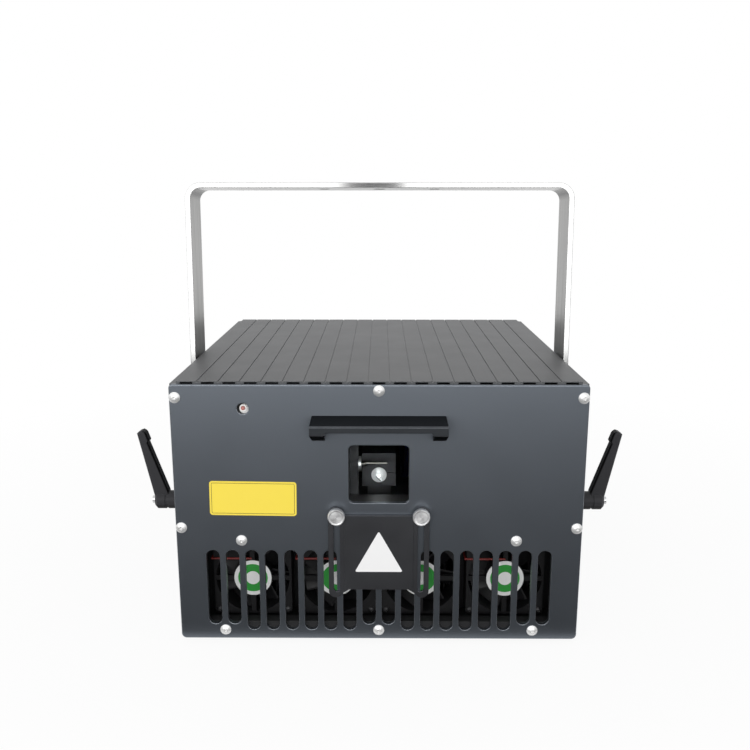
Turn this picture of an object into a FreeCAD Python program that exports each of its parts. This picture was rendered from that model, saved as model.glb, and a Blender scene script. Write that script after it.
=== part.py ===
import FreeCAD, Part
import math
import os
import re
import Sketcher
from FreeCAD import Placement, Rotation, Vector

# A laser show projector: a box case with a beam window, a hood and a sliding shutter in front,
# fans behind vent slots, lasers and a scanner on a deck inside, and a yoke on two clamp levers.

# Driving dimensions in millimetres. A rise is measured up from the underside of the case, a
# depth back from the outer face of the front panel, and a side out from the middle.
SIZES = {
    # Case panels
    "case_width": 400.0,
    "case_depth": 400.0,
    "panel_height": 263.0,
    "front_thick": 5.0,
    "rear_thick": 4.0,
    "side_thick": 11.0,
    "panel_low_corner": 5.0,
    "panel_high_corner": 3.5,
    "panel_edge": 0.8,
    "panel_drop": 1.5,
    # Base plate and feet
    "base_thick": 4.0,
    "rail_depth": 12.0,
    "rail_height": 15.0,
    "foot_height": 8.0,
    "foot_radius": 12.0,
    "foot_inset": 34.0,
    # Ribbed top cover
    "cover_sheet": 2.0,
    "land_rise": 2.4,
    "land_wall": 1.0,
    "land_edge": 5.5,
    "land_pitch": 20.45,
    "land_width": 19.05,
    "land_side": 3.4,
    "groove_drop": 0.8,
    "cover_rail_depth": 12.0,
    "cover_rail_height": 12.0,
    # Button-head panel screws and where they sit
    "screw_head_radius": 5.5,
    "screw_head_height": 3.0,
    "screw_rim": 0.6,
    "screw_radius": 2.5,
    "screw_length": 14.0,
    "screw_socket_radius": 1.8,
    "screw_socket_depth": 1.8,
    "screw_gap": 0.25,
    "thread_gap": 0.05,
    "corner_screw_drop": 12.5,
    "top_screw_drop": 5.7,
    "side_screw_rise": 118.4,
    "base_screw_rise": 8.3,
    # Countersunk side screws
    "sunk_head_radius": 4.0,
    "sunk_head_height": 2.2,
    "sunk_radius": 2.0,
    "sunk_length": 16.0,
    "sunk_socket_radius": 1.4,
    "sunk_socket_depth": 1.4,
    "sunk_end_inset": 60.0,
    "sunk_middle_depth": 240.0,
    # Vent slots
    "vent_margin": 35.355,
    "vent_radius": 6.75,
    "vent_low_rise": 8.2,
    "vent_top_gap": 4.4,
    "vent_shortening": 6.3,
    "rear_vent_low_rise": 22.0,
    "rear_vent_top_gap": 15.2,
    # Beam window, tunnel and glass
    "window_size": 59.0,
    "window_shift": 13.3,
    "window_corner": 5.0,
    "tunnel_wall": 3.0,
    "tunnel_depth": 19.0,
    "glass_thick": 2.0,
    # Hood over the window
    "visor_half": 64.25,
    "visor_reach": 31.0,
    "visor_drop": 30.2,
    "visor_slope": 2.0,
    "visor_lip": 6.4,
    "visor_leg": 2.9,
    "visor_root": 24.8,
    "visor_leg_width": 12.25,
    "visor_inner_chamfer": 3.5,
    "visor_edge": 1.2,
    "visor_screw_drop": 12.8,
    "visor_screw_radius": 2.0,
    "visor_screw_length": 16.0,
    "visor_screw_head_radius": 3.8,
    "visor_screw_head_height": 2.4,
    # Indicator light
    "led_margin": 70.0,
    "led_drop": 23.5,
    "led_hole_radius": 5.65,
    "led_board_radius": 8.0,
    "led_board_thick": 3.0,
    "led_ring_radius": 3.5,
    "led_ring_reach": 1.8,
    "led_radius": 2.1,
    "led_reach": 2.4,
    # Sliding shutter
    "shutter_gap": 0.3,
    "shutter_thick": 3.0,
    "shutter_boss": 1.0,
    "shutter_boss_inset": 7.5,
    "shutter_half": 49.6,
    "shutter_low_rise": 55.0,
    "shutter_height": 78.0,
    "ear_radius": 6.8,
    "ear_drop": 9.2,
    "ear_lift": 8.3,
    "ear_foot_width": 5.0,
    "ear_foot_slope": 9.0,
    "ear_neck_slope": 4.0,
    "guide_shift": 1.4,
    "guide_radius": 3.2,
    "guide_foot": 6.0,
    "guide_margin": 5.0,
    # Thumb screws
    "thumb_radius": 8.5,
    "thumb_reach": 10.5,
    "thumb_collar_radius": 5.0,
    "thumb_collar_height": 1.5,
    "thumb_edge": 0.9,
    "thumb_shank_radius": 2.9,
    "thumb_dish_radius": 6.6,
    "thumb_dish_depth": 0.6,
    # Fans
    "fan_wall_gap": 18.65,
    "fan_gap": 6.9,
    "fan_thick": 25.0,
    "fan_floor_gap": 7.3,
    "fan_depth": 28.0,
    "fan_corner": 4.0,
    "fan_bore_wall": 2.0,
    "fan_hole_inset": 4.25,
    "fan_hub_radius": 20.0,
    "fan_hub_thick": 6.0,
    "fan_strut_width": 5.0,
    "fan_strut_thick": 4.0,
    "fan_sleeve_radius": 4.0,
    "sleeve_end_gap": 1.2,
    "impeller_radius": 19.0,
    "impeller_gap": 1.0,
    "impeller_back_gap": 0.8,
    "impeller_cap": 3.0,
    "impeller_running_gap": 0.05,
    "blade_count": 7,
    "blade_gap": 1.3,
    "blade_thick": 1.8,
    "blade_lean": 11.0,
    "blade_margin": 1.0,
    "fan_screw_radius": 2.0,
    "fan_screw_head_radius": 3.6,
    "fan_screw_head_height": 2.2,
    "small_rim": 0.5,
    "small_socket_radius": 1.3,
    "small_socket_depth": 1.2,
    "bulkhead_thick": 3.0,
    "lead_radius": 1.1,
    "lead_rise": 22.0,
    "lead_start": 0.5,
    "lead_clear": 0.4,
    # Heat sink
    "sink_wall_gap": 17.0,
    "sink_front_gap": 6.0,
    "sink_rear_gap": 23.0,
    "sink_base": 10.0,
    "fin_count": 35,
    "fin_thick": 2.0,
    "fin_low_rise": 12.0,
    # Optical deck and laser modules
    "deck_gap": 7.9,
    "deck_thick": 12.0,
    "window_lift": 15.8,
    "beam_gap": 11.0,
    "laser_wall_gap": 15.0,
    "laser_inner_side": 26.0,
    "laser_gap": 2.0,
    "laser_front_depth": 170.0,
    "laser_length": 110.0,
    "laser_crown": 15.2,
    "laser_flange": 4.0,
    "laser_flange_thick": 5.0,
    "snout_radius": 6.0,
    "snout_length": 6.0,
    "beam_bore": 2.0,
    # Beam mirrors
    "post_width": 14.0,
    "mirror_width": 14.0,
    "mirror_height": 16.0,
    "mirror_thick": 2.0,
    "mirror_below_beam": 7.0,
    "mirror_turn": 45.0,
    # Scanner
    "scanner_side": 17.2,
    "scanner_height": 35.0,
    "scanner_drop": 12.0,
    "scanner_set_back": 8.0,
    "scanner_length": 30.0,
    "pedestal_side": 12.0,
    "pedestal_inset": 5.0,
    "scanner_base": 5.0,
    "clamp_slit": 1.2,
    "clamp_slit_lift": 2.0,
    "cheek_thick": 13.0,
    "cheek_gap": 3.5,
    "cheek_reach": 10.0,
    "cheek_back": 5.0,
    "motor_radius": 7.8,
    "motor_gap": 0.05,
    "motor_y_reach": 1.0,
    "motor_y_length": 36.0,
    "motor_x_lift": 14.5,
    "motor_x_length": 30.0,
    "motor_x_reach": 2.8,
    "mirror_shaft_radius": 1.5,
    "mirror_shaft_depth": 8.0,
    "scan_mirror_thick": 0.9,
    "scan_x_width": 11.0,
    "scan_x_start": 3.0,
    "scan_x_length": 23.0,
    "scan_y_width": 9.0,
    "scan_y_start": 2.0,
    "scan_y_length": 11.0,
    "scan_x_turn": 25.0,
    "scan_y_turn": 45.0,
    "seat_radius": 2.2,
    # Electronics
    "supply_wall_gap": 14.0,
    "supply_width": 200.0,
    "supply_rear_gap": 13.0,
    "supply_length": 98.0,
    "supply_height": 42.0,
    "supply_sheet": 1.5,
    "supply_mouth": 24.0,
    "board_wall_gap": 14.0,
    "board_thick": 1.6,
    "control_laser_gap": 61.0,
    "control_rear_gap": 26.0,
    "control_length": 100.0,
    "driver_width": 118.0,
    "board_gap": 50.0,
    "driver_length": 110.0,
    "standoff_height": 10.0,
    "standoff_radius": 3.0,
    "standoff_inset": 6.0,
    "chip_width": 26.0,
    "chip_height": 4.0,
    "cooler_width": 16.0,
    "cooler_height": 22.0,
    "part_inset": 18.0,
    # Yoke
    "yoke_width": 50.0,
    "yoke_thick": 5.5,
    "yoke_corner": 17.0,
    "yoke_rise": 358.5,
    "yoke_lean": 3.0,
    "yoke_end_relief": 0.5,
    "yoke_bolt_radius": 6.5,
    "yoke_side_bolt_radius": 5.5,
    "yoke_side_bolt_side": 60.0,
    "pivot_drop": 7.2,
    "pivot_depth": 145.0,
    "pivot_gap": 0.05,
    "washer_thick": 2.0,
    "washer_radius": 23.0,
    # Clamp studs and levers, measured out from the yoke's outer face
    "stud_radius": 5.0,
    "stud_bury": 3.0,
    "stud_flange_radius": 9.5,
    "stud_flange": 3.0,
    "stud_core_radius": 6.0,
    "stud_core_end": 34.0,
    "stud_neck_radius": 2.5,
    "stud_head_radius": 4.35,
    "stud_neck_length": 16.0,
    "stud_head_length": 5.5,
    "lever_slide_gap": 0.05,
    "lever_seat_gap": 0.3,
    "lever_head_gap": 0.3,
    "lever_web": 4.0,
    "lever_hub_radius": 10.5,
    "lever_rim": 2.0,
    "lever_hub_edge": 3.0,
    "lever_ring_inset": 12.2,
    "lever_ring_width": 3.5,
    "lever_ring_depth": 0.8,
    "lever_arm_thick": 13.0,
    "lever_arm_round": 2.5,
    "lever_root_past": 0.5,
    "lever_root_up": 6.5,
    "lever_tip_past": 16.5,
    "lever_tip_up": 81.0,
    "lever_shoulder_past": 13.5,
    "lever_shoulder_lift": 2.3,
    "lever_peak_past": 10.2,
    "lever_peak_lift": 3.5,
    "lever_brow_past": 7.6,
    "lever_brow_lift": 2.0,
    "lever_thumb_past": 6.0,
    "lever_step_past": 3.0,
    "lever_step_drop": 8.6,
    "lever_notch_past": 4.3,
    "lever_notch_drop": 2.6,
    "lever_heel_back": 15.7,
    "lever_heel_up": 12.4,
    "spring_wire_radius": 0.5,
    "spring_turns": 5,
    "spring_side_gap": 0.5,
    # Rear fittings
    "inlet_margin": 80.0,
    "inlet_rise": 150.0,
    "inlet_web": 3.6,
    "inlet_height": 30.0,
    "inlet_flange": 3.0,
    "inlet_lip": 2.5,
    "inlet_length": 24.0,
    "socket_width": 23.0,
    "socket_height": 17.0,
    "socket_depth": 15.0,
    "socket_wall": 2.5,
    "pin_radius": 1.2,
    "pin_length": 11.0,
    "pin_pitch": 6.5,
    "rocker_width": 11.0,
    "rocker_height": 20.0,
    "rocker_thick": 6.0,
    "rocker_dip": 2.0,
    "rocker_clear": 1.2,
    "rocker_well_depth": 10.0,
    "rocker_sink": 2.0,
    "rocker_pin_radius": 1.5,
    "rocker_pin_reach": 2.5,
    "rocker_pin_gap": 0.05,
    "rocker_tilt": 8.0,
    "lock_margin": 138.0,
    "lock_rise": 150.0,
    "lock_radius": 6.2,
    "lock_flange_radius": 9.5,
    "lock_flange": 3.0,
    "lock_length": 20.0,
    "lock_hole_gap": 0.1,
    "plug_radius": 4.0,
    "plug_gap": 0.05,
    "plug_length": 16.0,
    "key_blade_width": 6.0,
    "key_blade_thick": 1.8,
    "key_blade_reach": 5.0,
    "key_bow_radius": 9.0,
    "key_bow_hole": 2.5,
    "show_margin": 63.0,
    "show_rise": 170.0,
    "show_pitch": 34.0,
    "show_width": 53.0,
    "show_height": 12.5,
    "show_flange": 1.2,
    "show_shell_width": 39.0,
    "show_shell_height": 8.5,
    "show_shell_reach": 5.5,
    "show_body_length": 12.0,
    "light_margin": 138.0,
    "light_pitch": 34.0,
    "light_flange_size": 28.0,
    "light_flange": 2.0,
    "light_radius": 11.0,
    "light_bore_radius": 9.2,
    "light_bore_depth": 15.0,
    "light_length": 20.0,
    "light_pin_radius": 1.1,
    "light_pin_length": 11.0,
    "light_pin_circle": 4.6,
    "fitting_gap": 0.1,
    "lug_drop": 37.0,
    "lug_flange_width": 34.0,
    "lug_flange_height": 26.0,
    "lug_flange": 3.0,
    "lug_thick": 6.0,
    "lug_reach": 26.0,
    "lug_end_radius": 11.0,
    "lug_hole_radius": 6.0,
    # Shared by every cut that runs out of a face
    "overrun": 2.0,
}

# How many slots, fans and lasers stand in their rows
VENT_COUNT = 18
FAN_COUNT = 4
COLOURS = ("blue", "green", "red")
LASER_COUNT = len(COLOURS)

# Sizes and places that follow from the ones above
SUMS = {
    "inner_half": "case_width / 2 - side_thick",
    "body_back": "case_depth - rear_thick",
    "land_count": "floor((case_width - land_width - 2 * land_edge) / land_pitch) + 1",
    "vent_pitch": f"(case_width - 2 * vent_margin) / {VENT_COUNT - 1}",
    "base_screw_side": f"{(VENT_COUNT - 2) / 2} * vent_pitch",
    "deck_screw_side": "base_screw_side - vent_pitch",
    "vent_top_rise": "deck_rise - vent_top_gap",
    "vent_short_rise": "vent_low_rise + vent_shortening",
    "rear_vent_top_rise": "deck_rise - rear_vent_top_gap",
    "window_rise": "(deck_rise + deck_thick + panel_height) / 2 - window_shift",
    "visor_back_rise": "panel_height - visor_drop",
    "visor_front_rise": "visor_back_rise - visor_slope",
    "visor_lip_rise": "visor_front_rise - visor_lip",
    "visor_leg_rise": "visor_lip_rise - visor_leg",
    "visor_root_rise": "visor_back_rise - visor_root",
    "visor_screw_rise": "visor_back_rise - visor_screw_drop",
    "led_side": "case_width / 2 - led_margin",
    "led_rise": "panel_height - led_drop",
    "shutter_top_rise": "shutter_low_rise + shutter_height",
    "ear_low_rise": "shutter_low_rise - ear_drop",
    "ear_top_rise": "shutter_top_rise + ear_lift",
    "guide_side": "shutter_half - ear_radius - guide_shift",
    "guide_low_rise": "ear_low_rise + guide_foot",
    "guide_top_rise": "ear_top_rise - guide_margin",
    "fan_pitch": f"(2 * (inner_half - fan_wall_gap) + fan_gap) / {FAN_COUNT}",
    "fan_size": "fan_pitch - fan_gap",
    "fan_bore_radius": "fan_size / 2 - fan_bore_wall",
    "fan_rise": "base_thick + fan_floor_gap + fan_size / 2",
    "fan_back": "fan_depth + fan_thick + bulkhead_thick",
    "fan_hole_side": "fan_size / 2 - fan_hole_inset",
    "fan_sleeve_end": "fan_thick - impeller_back_gap - impeller_cap - sleeve_end_gap",
    "fan_screw_length": "fan_thick + bulkhead_thick",
    "blade_tip_radius": "sqrt((fan_bore_radius - blade_gap)^2 - blade_lean^2)",
    "deck_rise": "fan_rise + fan_size / 2 + deck_gap",
    "beam_rise": "window_rise - window_lift",
    "beam_depth": "front_thick + tunnel_depth + glass_thick + beam_gap",
    "laser_pitch": f"(inner_half - laser_wall_gap - laser_inner_side + laser_gap) / {LASER_COUNT}",
    "laser_width": "laser_pitch - laser_gap - 2 * laser_flange",
    "laser_first_side": "laser_inner_side + laser_flange + laser_width / 2",
    "scanner_low_rise": "beam_rise - scanner_drop",
    "scanner_depth": "beam_depth + scanner_set_back",
    "cheek_front_depth": "beam_depth - cheek_reach",
    "motor_x_rise": "beam_rise + motor_x_lift",
    "supply_outer_side": "inner_half - supply_wall_gap",
    "supply_front_depth": "body_back - supply_rear_gap - supply_length",
    "sink_half": "inner_half - sink_wall_gap",
    "sink_length": "supply_front_depth - sink_rear_gap - sink_front_gap - fan_back",
    "board_outer_side": "inner_half - board_wall_gap",
    "control_front_depth": "body_back - control_rear_gap - control_length",
    "control_width": "board_outer_side + laser_inner_side - control_laser_gap",
    "driver_front_depth": "control_front_depth - board_gap - driver_length",
    "pivot_rise": "deck_rise - pivot_drop",
    "stud_head_start": "stud_core_end + stud_neck_length",
    "stud_head_end": "stud_head_start + stud_head_length",
    "lever_hub_end": "stud_head_start + lever_rim",
    "lever_ring_end": "lever_hub_end - lever_ring_inset",
    "lever_ring_start": "lever_ring_end - lever_ring_width",
    "lever_root_out": "lever_hub_end + lever_root_past",
    "lever_tip_out": "lever_hub_end + lever_tip_past",
    "lever_shoulder_out": "lever_hub_end + lever_shoulder_past",
    "lever_shoulder_up": "lever_tip_up + lever_shoulder_lift",
    "lever_peak_out": "lever_hub_end + lever_peak_past",
    "lever_peak_up": "lever_tip_up + lever_peak_lift",
    "lever_brow_out": "lever_hub_end + lever_brow_past",
    "lever_brow_up": "lever_tip_up + lever_brow_lift",
    "lever_thumb_out": "lever_hub_end + lever_thumb_past",
    "lever_step_out": "lever_hub_end + lever_step_past",
    "lever_step_up": "lever_tip_up - lever_step_drop",
    "lever_notch_out": "lever_hub_end + lever_notch_past",
    "lever_notch_up": "lever_step_up - lever_notch_drop",
    "lever_heel_out": "lever_hub_end - lever_heel_back",
    "inlet_side": "case_width / 2 - inlet_margin",
    "lock_side": "case_width / 2 - lock_margin",
    "show_side": "case_width / 2 - show_margin",
    "light_side": "case_width / 2 - light_margin",
    "inlet_width": "2 * (inlet_lip + socket_wall + rocker_clear) + socket_width + inlet_web + rocker_width",
    "lug_rise": "panel_height - lug_drop",
}

QUARTER_TURN = 90
FULL_TURN = 360
PITCH_SHARE = 0.5

doc = FreeCAD.newDocument("LaserShowProjector")
sheet = doc.addObject("Spreadsheet::Sheet", "Sizes")
for row, (alias, value) in enumerate(SIZES.items(), start=1):
    sheet.set(f"A{row}", alias)
    sheet.set(f"B{row}", str(value))
    sheet.setAlias(f"B{row}", alias)
doc.recompute()

NODES = {}


# Reading and binding sizes
def formula(text):
    """Write out each sum that a text names, and point each size in it at its cell."""

    def cell(word):
        name = word.group()
        if name in SUMS:
            return f"({formula(SUMS[name])})"
        return f"Sizes.{name}" if name in SIZES else name

    return re.sub(r"[a-z]\w*", cell, text)


def number(text):
    return float(sheet.evalExpression(formula(text)))


def bind(item, path, text):
    item.setExpression(path, formula(text))


def put(item, x, y, z):
    for axis, text in zip("xyz", (x, y, z)):
        bind(item, f"Placement.Base.{axis}", text)


def node(label, item):
    """Name a finished sub-part, which is written to a file of that name."""
    item.Label = label
    NODES[label] = item
    return item


# Solids and what is made of them
AXIS_TURNS = {
    "x": Rotation(Vector(0, 1, 0), QUARTER_TURN),
    "y": Rotation(Vector(1, 0, 0), -QUARTER_TURN),
    "z": Rotation(),
}


def block(name, x, y, z):
    """A box between a low and a high sum on each axis."""
    box = doc.addObject("Part::Box", name)
    for side, (low, high) in zip(("Length", "Width", "Height"), (x, y, z)):
        bind(box, side, f"({high}) - ({low})")
    put(box, x[0], y[0], z[0])
    return box


def rod(name, axis, radius, centre, start, end):
    """A round bar along an axis, with its centre on the other two axes."""
    bar = doc.addObject("Part::Cylinder", name)
    bar.Placement = Placement(Vector(), AXIS_TURNS[axis])
    bind(bar, "Radius", radius)
    bind(bar, "Height", f"({end}) - ({start})")
    place = list(centre)
    place.insert("xyz".index(axis), start)
    put(bar, *place)
    return bar


def taper(name, axis, radii, centre, start, end):
    """A round bar whose radius changes from start to end."""
    cone = doc.addObject("Part::Cone", name)
    cone.Placement = Placement(Vector(), AXIS_TURNS[axis])
    bind(cone, "Radius1", radii[0])
    bind(cone, "Radius2", radii[1])
    bind(cone, "Height", f"({end}) - ({start})")
    place = list(centre)
    place.insert("xyz".index(axis), start)
    put(cone, *place)
    return cone


def group(name, pieces):
    gathered = doc.addObject("Part::Compound", name)
    gathered.Links = list(pieces)
    return gathered


def join(name, pieces):
    fused = doc.addObject("Part::MultiFuse", name)
    fused.Shapes = list(pieces)
    fused.Refine = True
    return fused


def cut(name, base, tools):
    remains = doc.addObject("Part::Cut", name)
    remains.Base = base
    remains.Tool = group(f"{name}_tools", tools) if len(tools) > 1 else tools[0]
    return remains


# Sketches: each shape is a function that draws itself and holds its points by sums
def hold(sketch, geometry, point, kind, text):
    reference = Sketcher.Constraint(kind, -1, 1, geometry, point, number(text))
    bind(sketch, f"Constraints[{sketch.addConstraint(reference)}]", text)


def hold_radius(sketch, geometry, text):
    reference = Sketcher.Constraint("Radius", geometry, number(text))
    bind(sketch, f"Constraints[{sketch.addConstraint(reference)}]", text)


def hold_point(sketch, geometry, point, x, y):
    hold(sketch, geometry, point, "DistanceX", x)
    hold(sketch, geometry, point, "DistanceY", y)


def arc(x, y, radius, start, end):
    """An arc between two angles, counted in quarter turns."""
    circle_of = Part.Circle(Vector(x, y, 0), Vector(0, 0, 1), radius)
    return Part.ArcOfCircle(circle_of, math.radians(start * QUARTER_TURN), math.radians(end * QUARTER_TURN))


def line(x_start, y_start, x_end, y_end):
    return Part.LineSegment(Vector(x_start, y_start, 0), Vector(x_end, y_end, 0))


def outline(points):
    """Straight lines through points given as pairs of sums."""

    def draw(sketch):
        first = sketch.GeometryCount
        places = [(number(x), number(y)) for x, y in points]
        count = len(places)
        for index in range(count):
            sketch.addGeometry(line(*places[index], *places[(index + 1) % count]), False)
        for index in range(count):
            after = first + (index + 1) % count
            sketch.addConstraint(Sketcher.Constraint("Coincident", first + index, 2, after, 1))
        for index, (x, y) in enumerate(points):
            hold_point(sketch, first + index, 1, x, y)

    return draw


def rectangle(x, y):
    return outline([(x[0], y[0]), (x[1], y[0]), (x[1], y[1]), (x[0], y[1])])


def circle(x, y, radius):
    def draw(sketch):
        centre = Vector(number(x), number(y), 0)
        ring = sketch.addGeometry(Part.Circle(centre, Vector(0, 0, 1), number(radius)), False)
        hold_point(sketch, ring, 3, x, y)
        hold_radius(sketch, ring, radius)

    return draw


def join_smoothly(sketch, first, count):
    for index in range(count):
        after = first + (index + 1) % count
        sketch.addConstraint(Sketcher.Constraint("Tangent", first + index, 2, after, 1))


def slot(x, low, high, radius):
    """An upright slot with round ends, between a low and a high sum."""

    def draw(sketch):
        first = sketch.GeometryCount
        middle, size = number(x), number(radius)
        bottom, top = number(low) + size, number(high) - size
        sketch.addGeometry(arc(middle, top, size, 0, 2), False)
        sketch.addGeometry(line(middle - size, top, middle - size, bottom), False)
        sketch.addGeometry(arc(middle, bottom, size, 2, 4), False)
        sketch.addGeometry(line(middle + size, bottom, middle + size, top), False)
        join_smoothly(sketch, first, 4)
        sketch.addConstraint(Sketcher.Constraint("Equal", first, first + 2))
        hold_point(sketch, first, 3, x, f"{high} - ({radius})")
        hold_point(sketch, first + 2, 3, x, f"{low} + {radius}")
        hold_radius(sketch, first, radius)

    return draw


def rounded(x, y, low_corner, high_corner):
    """A rectangle with one radius at its lower corners and one at its upper corners."""

    def draw(sketch):
        first = sketch.GeometryCount
        left, right = number(x[0]), number(x[1])
        bottom, top = number(y[0]), number(y[1])
        low, high = number(low_corner), number(high_corner)
        sketch.addGeometry(line(left + low, bottom, right - low, bottom), False)
        sketch.addGeometry(arc(right - low, bottom + low, low, 3, 4), False)
        sketch.addGeometry(line(right, bottom + low, right, top - high), False)
        sketch.addGeometry(arc(right - high, top - high, high, 0, 1), False)
        sketch.addGeometry(line(right - high, top, left + high, top), False)
        sketch.addGeometry(arc(left + high, top - high, high, 1, 2), False)
        sketch.addGeometry(line(left, top - high, left, bottom + low), False)
        sketch.addGeometry(arc(left + low, bottom + low, low, 2, 3), False)
        join_smoothly(sketch, first, 8)
        for level in (first, first + 4):
            sketch.addConstraint(Sketcher.Constraint("Horizontal", level))
        for upright in (first + 2, first + 6):
            sketch.addConstraint(Sketcher.Constraint("Vertical", upright))
        sketch.addConstraint(Sketcher.Constraint("Equal", first + 1, first + 7))
        sketch.addConstraint(Sketcher.Constraint("Equal", first + 3, first + 5))
        hold_radius(sketch, first + 1, low_corner)
        hold_radius(sketch, first + 3, high_corner)
        hold(sketch, first, 1, "DistanceY", y[0])
        hold(sketch, first + 2, 1, "DistanceX", x[1])
        hold(sketch, first + 4, 1, "DistanceY", y[1])
        hold(sketch, first + 6, 1, "DistanceX", x[0])

    return draw


# Bodies that are padded and cut from sketches
PLANE_SIGNS = {"XY_Plane": 1, "XZ_Plane": -1, "YZ_Plane": 1}


def new_body(name):
    return doc.addObject("PartDesign::Body", name)


def origin_feature(body, role):
    return next(item for item in body.Origin.OriginFeatures if item.Role == role)


def new_sketch(body, plane, level, shapes):
    sketch = body.newObject("Sketcher::SketchObject", f"{body.Name}_sketch")
    sketch.AttachmentSupport = [(origin_feature(body, plane), "")]
    sketch.MapMode = "FlatFace"
    bind(sketch, "AttachmentOffset.Base.z", f"{PLANE_SIGNS[plane]} * ({level})")
    for draw in shapes:
        draw(sketch)
    return sketch


def pad(body, plane, low, high, shapes):
    """Add material between a low and a high sum across a plane."""
    level = low if PLANE_SIGNS[plane] > 0 else high
    sketch = new_sketch(body, plane, level, shapes)
    feature = body.newObject("PartDesign::Pad", f"{body.Name}_pad")
    feature.Profile = sketch
    bind(feature, "Length", f"({high}) - ({low})")
    doc.recompute()
    return feature


def pocket(body, plane, low, high, shapes):
    """Cut material away between a low and a high sum across a plane."""
    level = high if PLANE_SIGNS[plane] > 0 else low
    before = body.Shape.Volume
    sketch = new_sketch(body, plane, level, shapes)
    feature = body.newObject("PartDesign::Pocket", f"{body.Name}_pocket")
    feature.Profile = sketch
    bind(feature, "Length", f"({high}) - ({low})")
    doc.recompute()
    if body.Shape.Volume >= before:
        raise RuntimeError(f"a cut in {body.Name} removes nothing")
    return feature


def turn(body, points):
    """Add the solid that an outline sweeps when it turns once about the body's X axis."""
    sketch = new_sketch(body, "XZ_Plane", "0", [outline(points)])
    feature = body.newObject("PartDesign::Revolution", f"{body.Name}_turning")
    feature.Profile = sketch
    feature.ReferenceAxis = (sketch, ["H_Axis"])
    feature.Angle = FULL_TURN
    doc.recompute()
    return feature


def repeat(body, feature, count, length):
    """Copy a feature along X."""
    pattern = body.newObject("PartDesign::LinearPattern", f"{body.Name}_row")
    pattern.Originals = [feature]
    pattern.Direction = (origin_feature(body, "X_Axis"), [""])
    bind(pattern, "Length", length)
    bind(pattern, "Occurrences", count)
    body.Tip = pattern
    doc.recompute()
    return pattern


def soften(body, kind, size, wanted):
    """Fillet or chamfer the edges whose middle and direction are wanted."""
    doc.recompute()
    base = body.Tip
    names = []
    for index, edge in enumerate(base.Shape.Edges, start=1):
        middle = edge.valueAt((edge.FirstParameter + edge.LastParameter) / 2)
        if wanted(edge, middle):
            names.append(f"Edge{index}")
    feature = body.newObject(f"PartDesign::{kind}", f"{body.Name}_{kind.lower()}")
    feature.Base = (base, names)
    bind(feature, "Radius" if kind == "Fillet" else "Size", size)
    doc.recompute()
    return feature


# Places that many pieces share
FRONT = "(-(case_depth + lug_reach - visor_reach) / 2)"
INNER = "inner_half"
SIDE_MID = "(case_width - side_thick) / 2"
DECK_MID = "(deck_rise + deck_thick / 2)"
DECK_TOP = "(deck_rise + deck_thick)"
COVER_LOW = "(panel_height - cover_sheet)"
BODY_BACK = "body_back"
YOKE_INNER = "(case_width / 2 + washer_thick)"
YOKE_OUTER = "(case_width / 2 + washer_thick + yoke_thick)"
SIDES = {"left": -1, "right": 1}


def deep(depth):
    """Where a depth behind the front face lies along Y."""
    return f"({FRONT} + {depth})"


def high(rise):
    """Where a rise above the underside of the case lies along Z."""
    return f"(foot_height + {rise})"


def deep_span(start, end):
    return (deep(start), deep(end))


def high_span(start, end):
    return (high(start), high(end))


def both(half):
    return (f"-({half})", half)


def span(sign, start, end):
    """A stretch on the right of the middle, or its mirror image on the left."""
    return (start, end) if sign > 0 else (f"-({end})", f"-({start})")


def signed(sign, text):
    return f"{sign} * ({text})"


# Counts, and places that two or more pieces share
SHORT_VENTS = (0, 1, 8, 9, 16, 17)
REAR_VENTS = 12
CLOSE = 1e-4
BASE_SUNK_DEPTHS = ("front_thick + rail_depth / 2", f"{BODY_BACK} - rail_depth / 2")
DECK_SUNK_DEPTHS = ("sunk_end_inset", "sunk_middle_depth", "case_depth - sunk_end_inset")
WINDOW_X = both("window_size / 2")
WINDOW_Z = high_span("window_rise - window_size / 2", "window_rise + window_size / 2")
THUMB_RISE = "(guide_top_rise - guide_radius)"
VISOR_LEG_MID = "(visor_half - visor_leg_width / 2)"
PIVOT = (deep("pivot_depth"), high("pivot_rise"))
PANEL_SCREW_PLACES = [(f"{sign} * {SIDE_MID}", "panel_height - corner_screw_drop") for sign in SIDES.values()]
PANEL_SCREW_PLACES += [(f"{sign} * {SIDE_MID}", "side_screw_rise") for sign in SIDES.values()]
PANEL_SCREW_PLACES += [(f"{sign} * deck_screw_side", DECK_MID) for sign in SIDES.values()]
PANEL_SCREW_PLACES += [(f"{sign} * base_screw_side", "base_screw_rise") for sign in (-1, 0, 1)]
PANEL_SCREW_PLACES += [("0", "panel_height - top_screw_drop")]


def screw_holes(places, radius):
    return [circle(x, high(rise), radius) for x, rise in places]


TAPPED = "screw_radius + thread_gap"
CLEAR = "screw_radius + screw_gap"


def tap_both_ends(body, places):
    """Tapped holes for the panel screws in the front and rear edges of a piece."""
    holes = screw_holes(places, TAPPED)
    tap_end = "screw_length + thread_gap"
    pocket(body, "XZ_Plane", deep("front_thick"), deep(tap_end), holes)
    tap_start = f"case_depth - ({tap_end})"
    pocket(body, "XZ_Plane", deep(tap_start), deep(BODY_BACK), holes)


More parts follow.
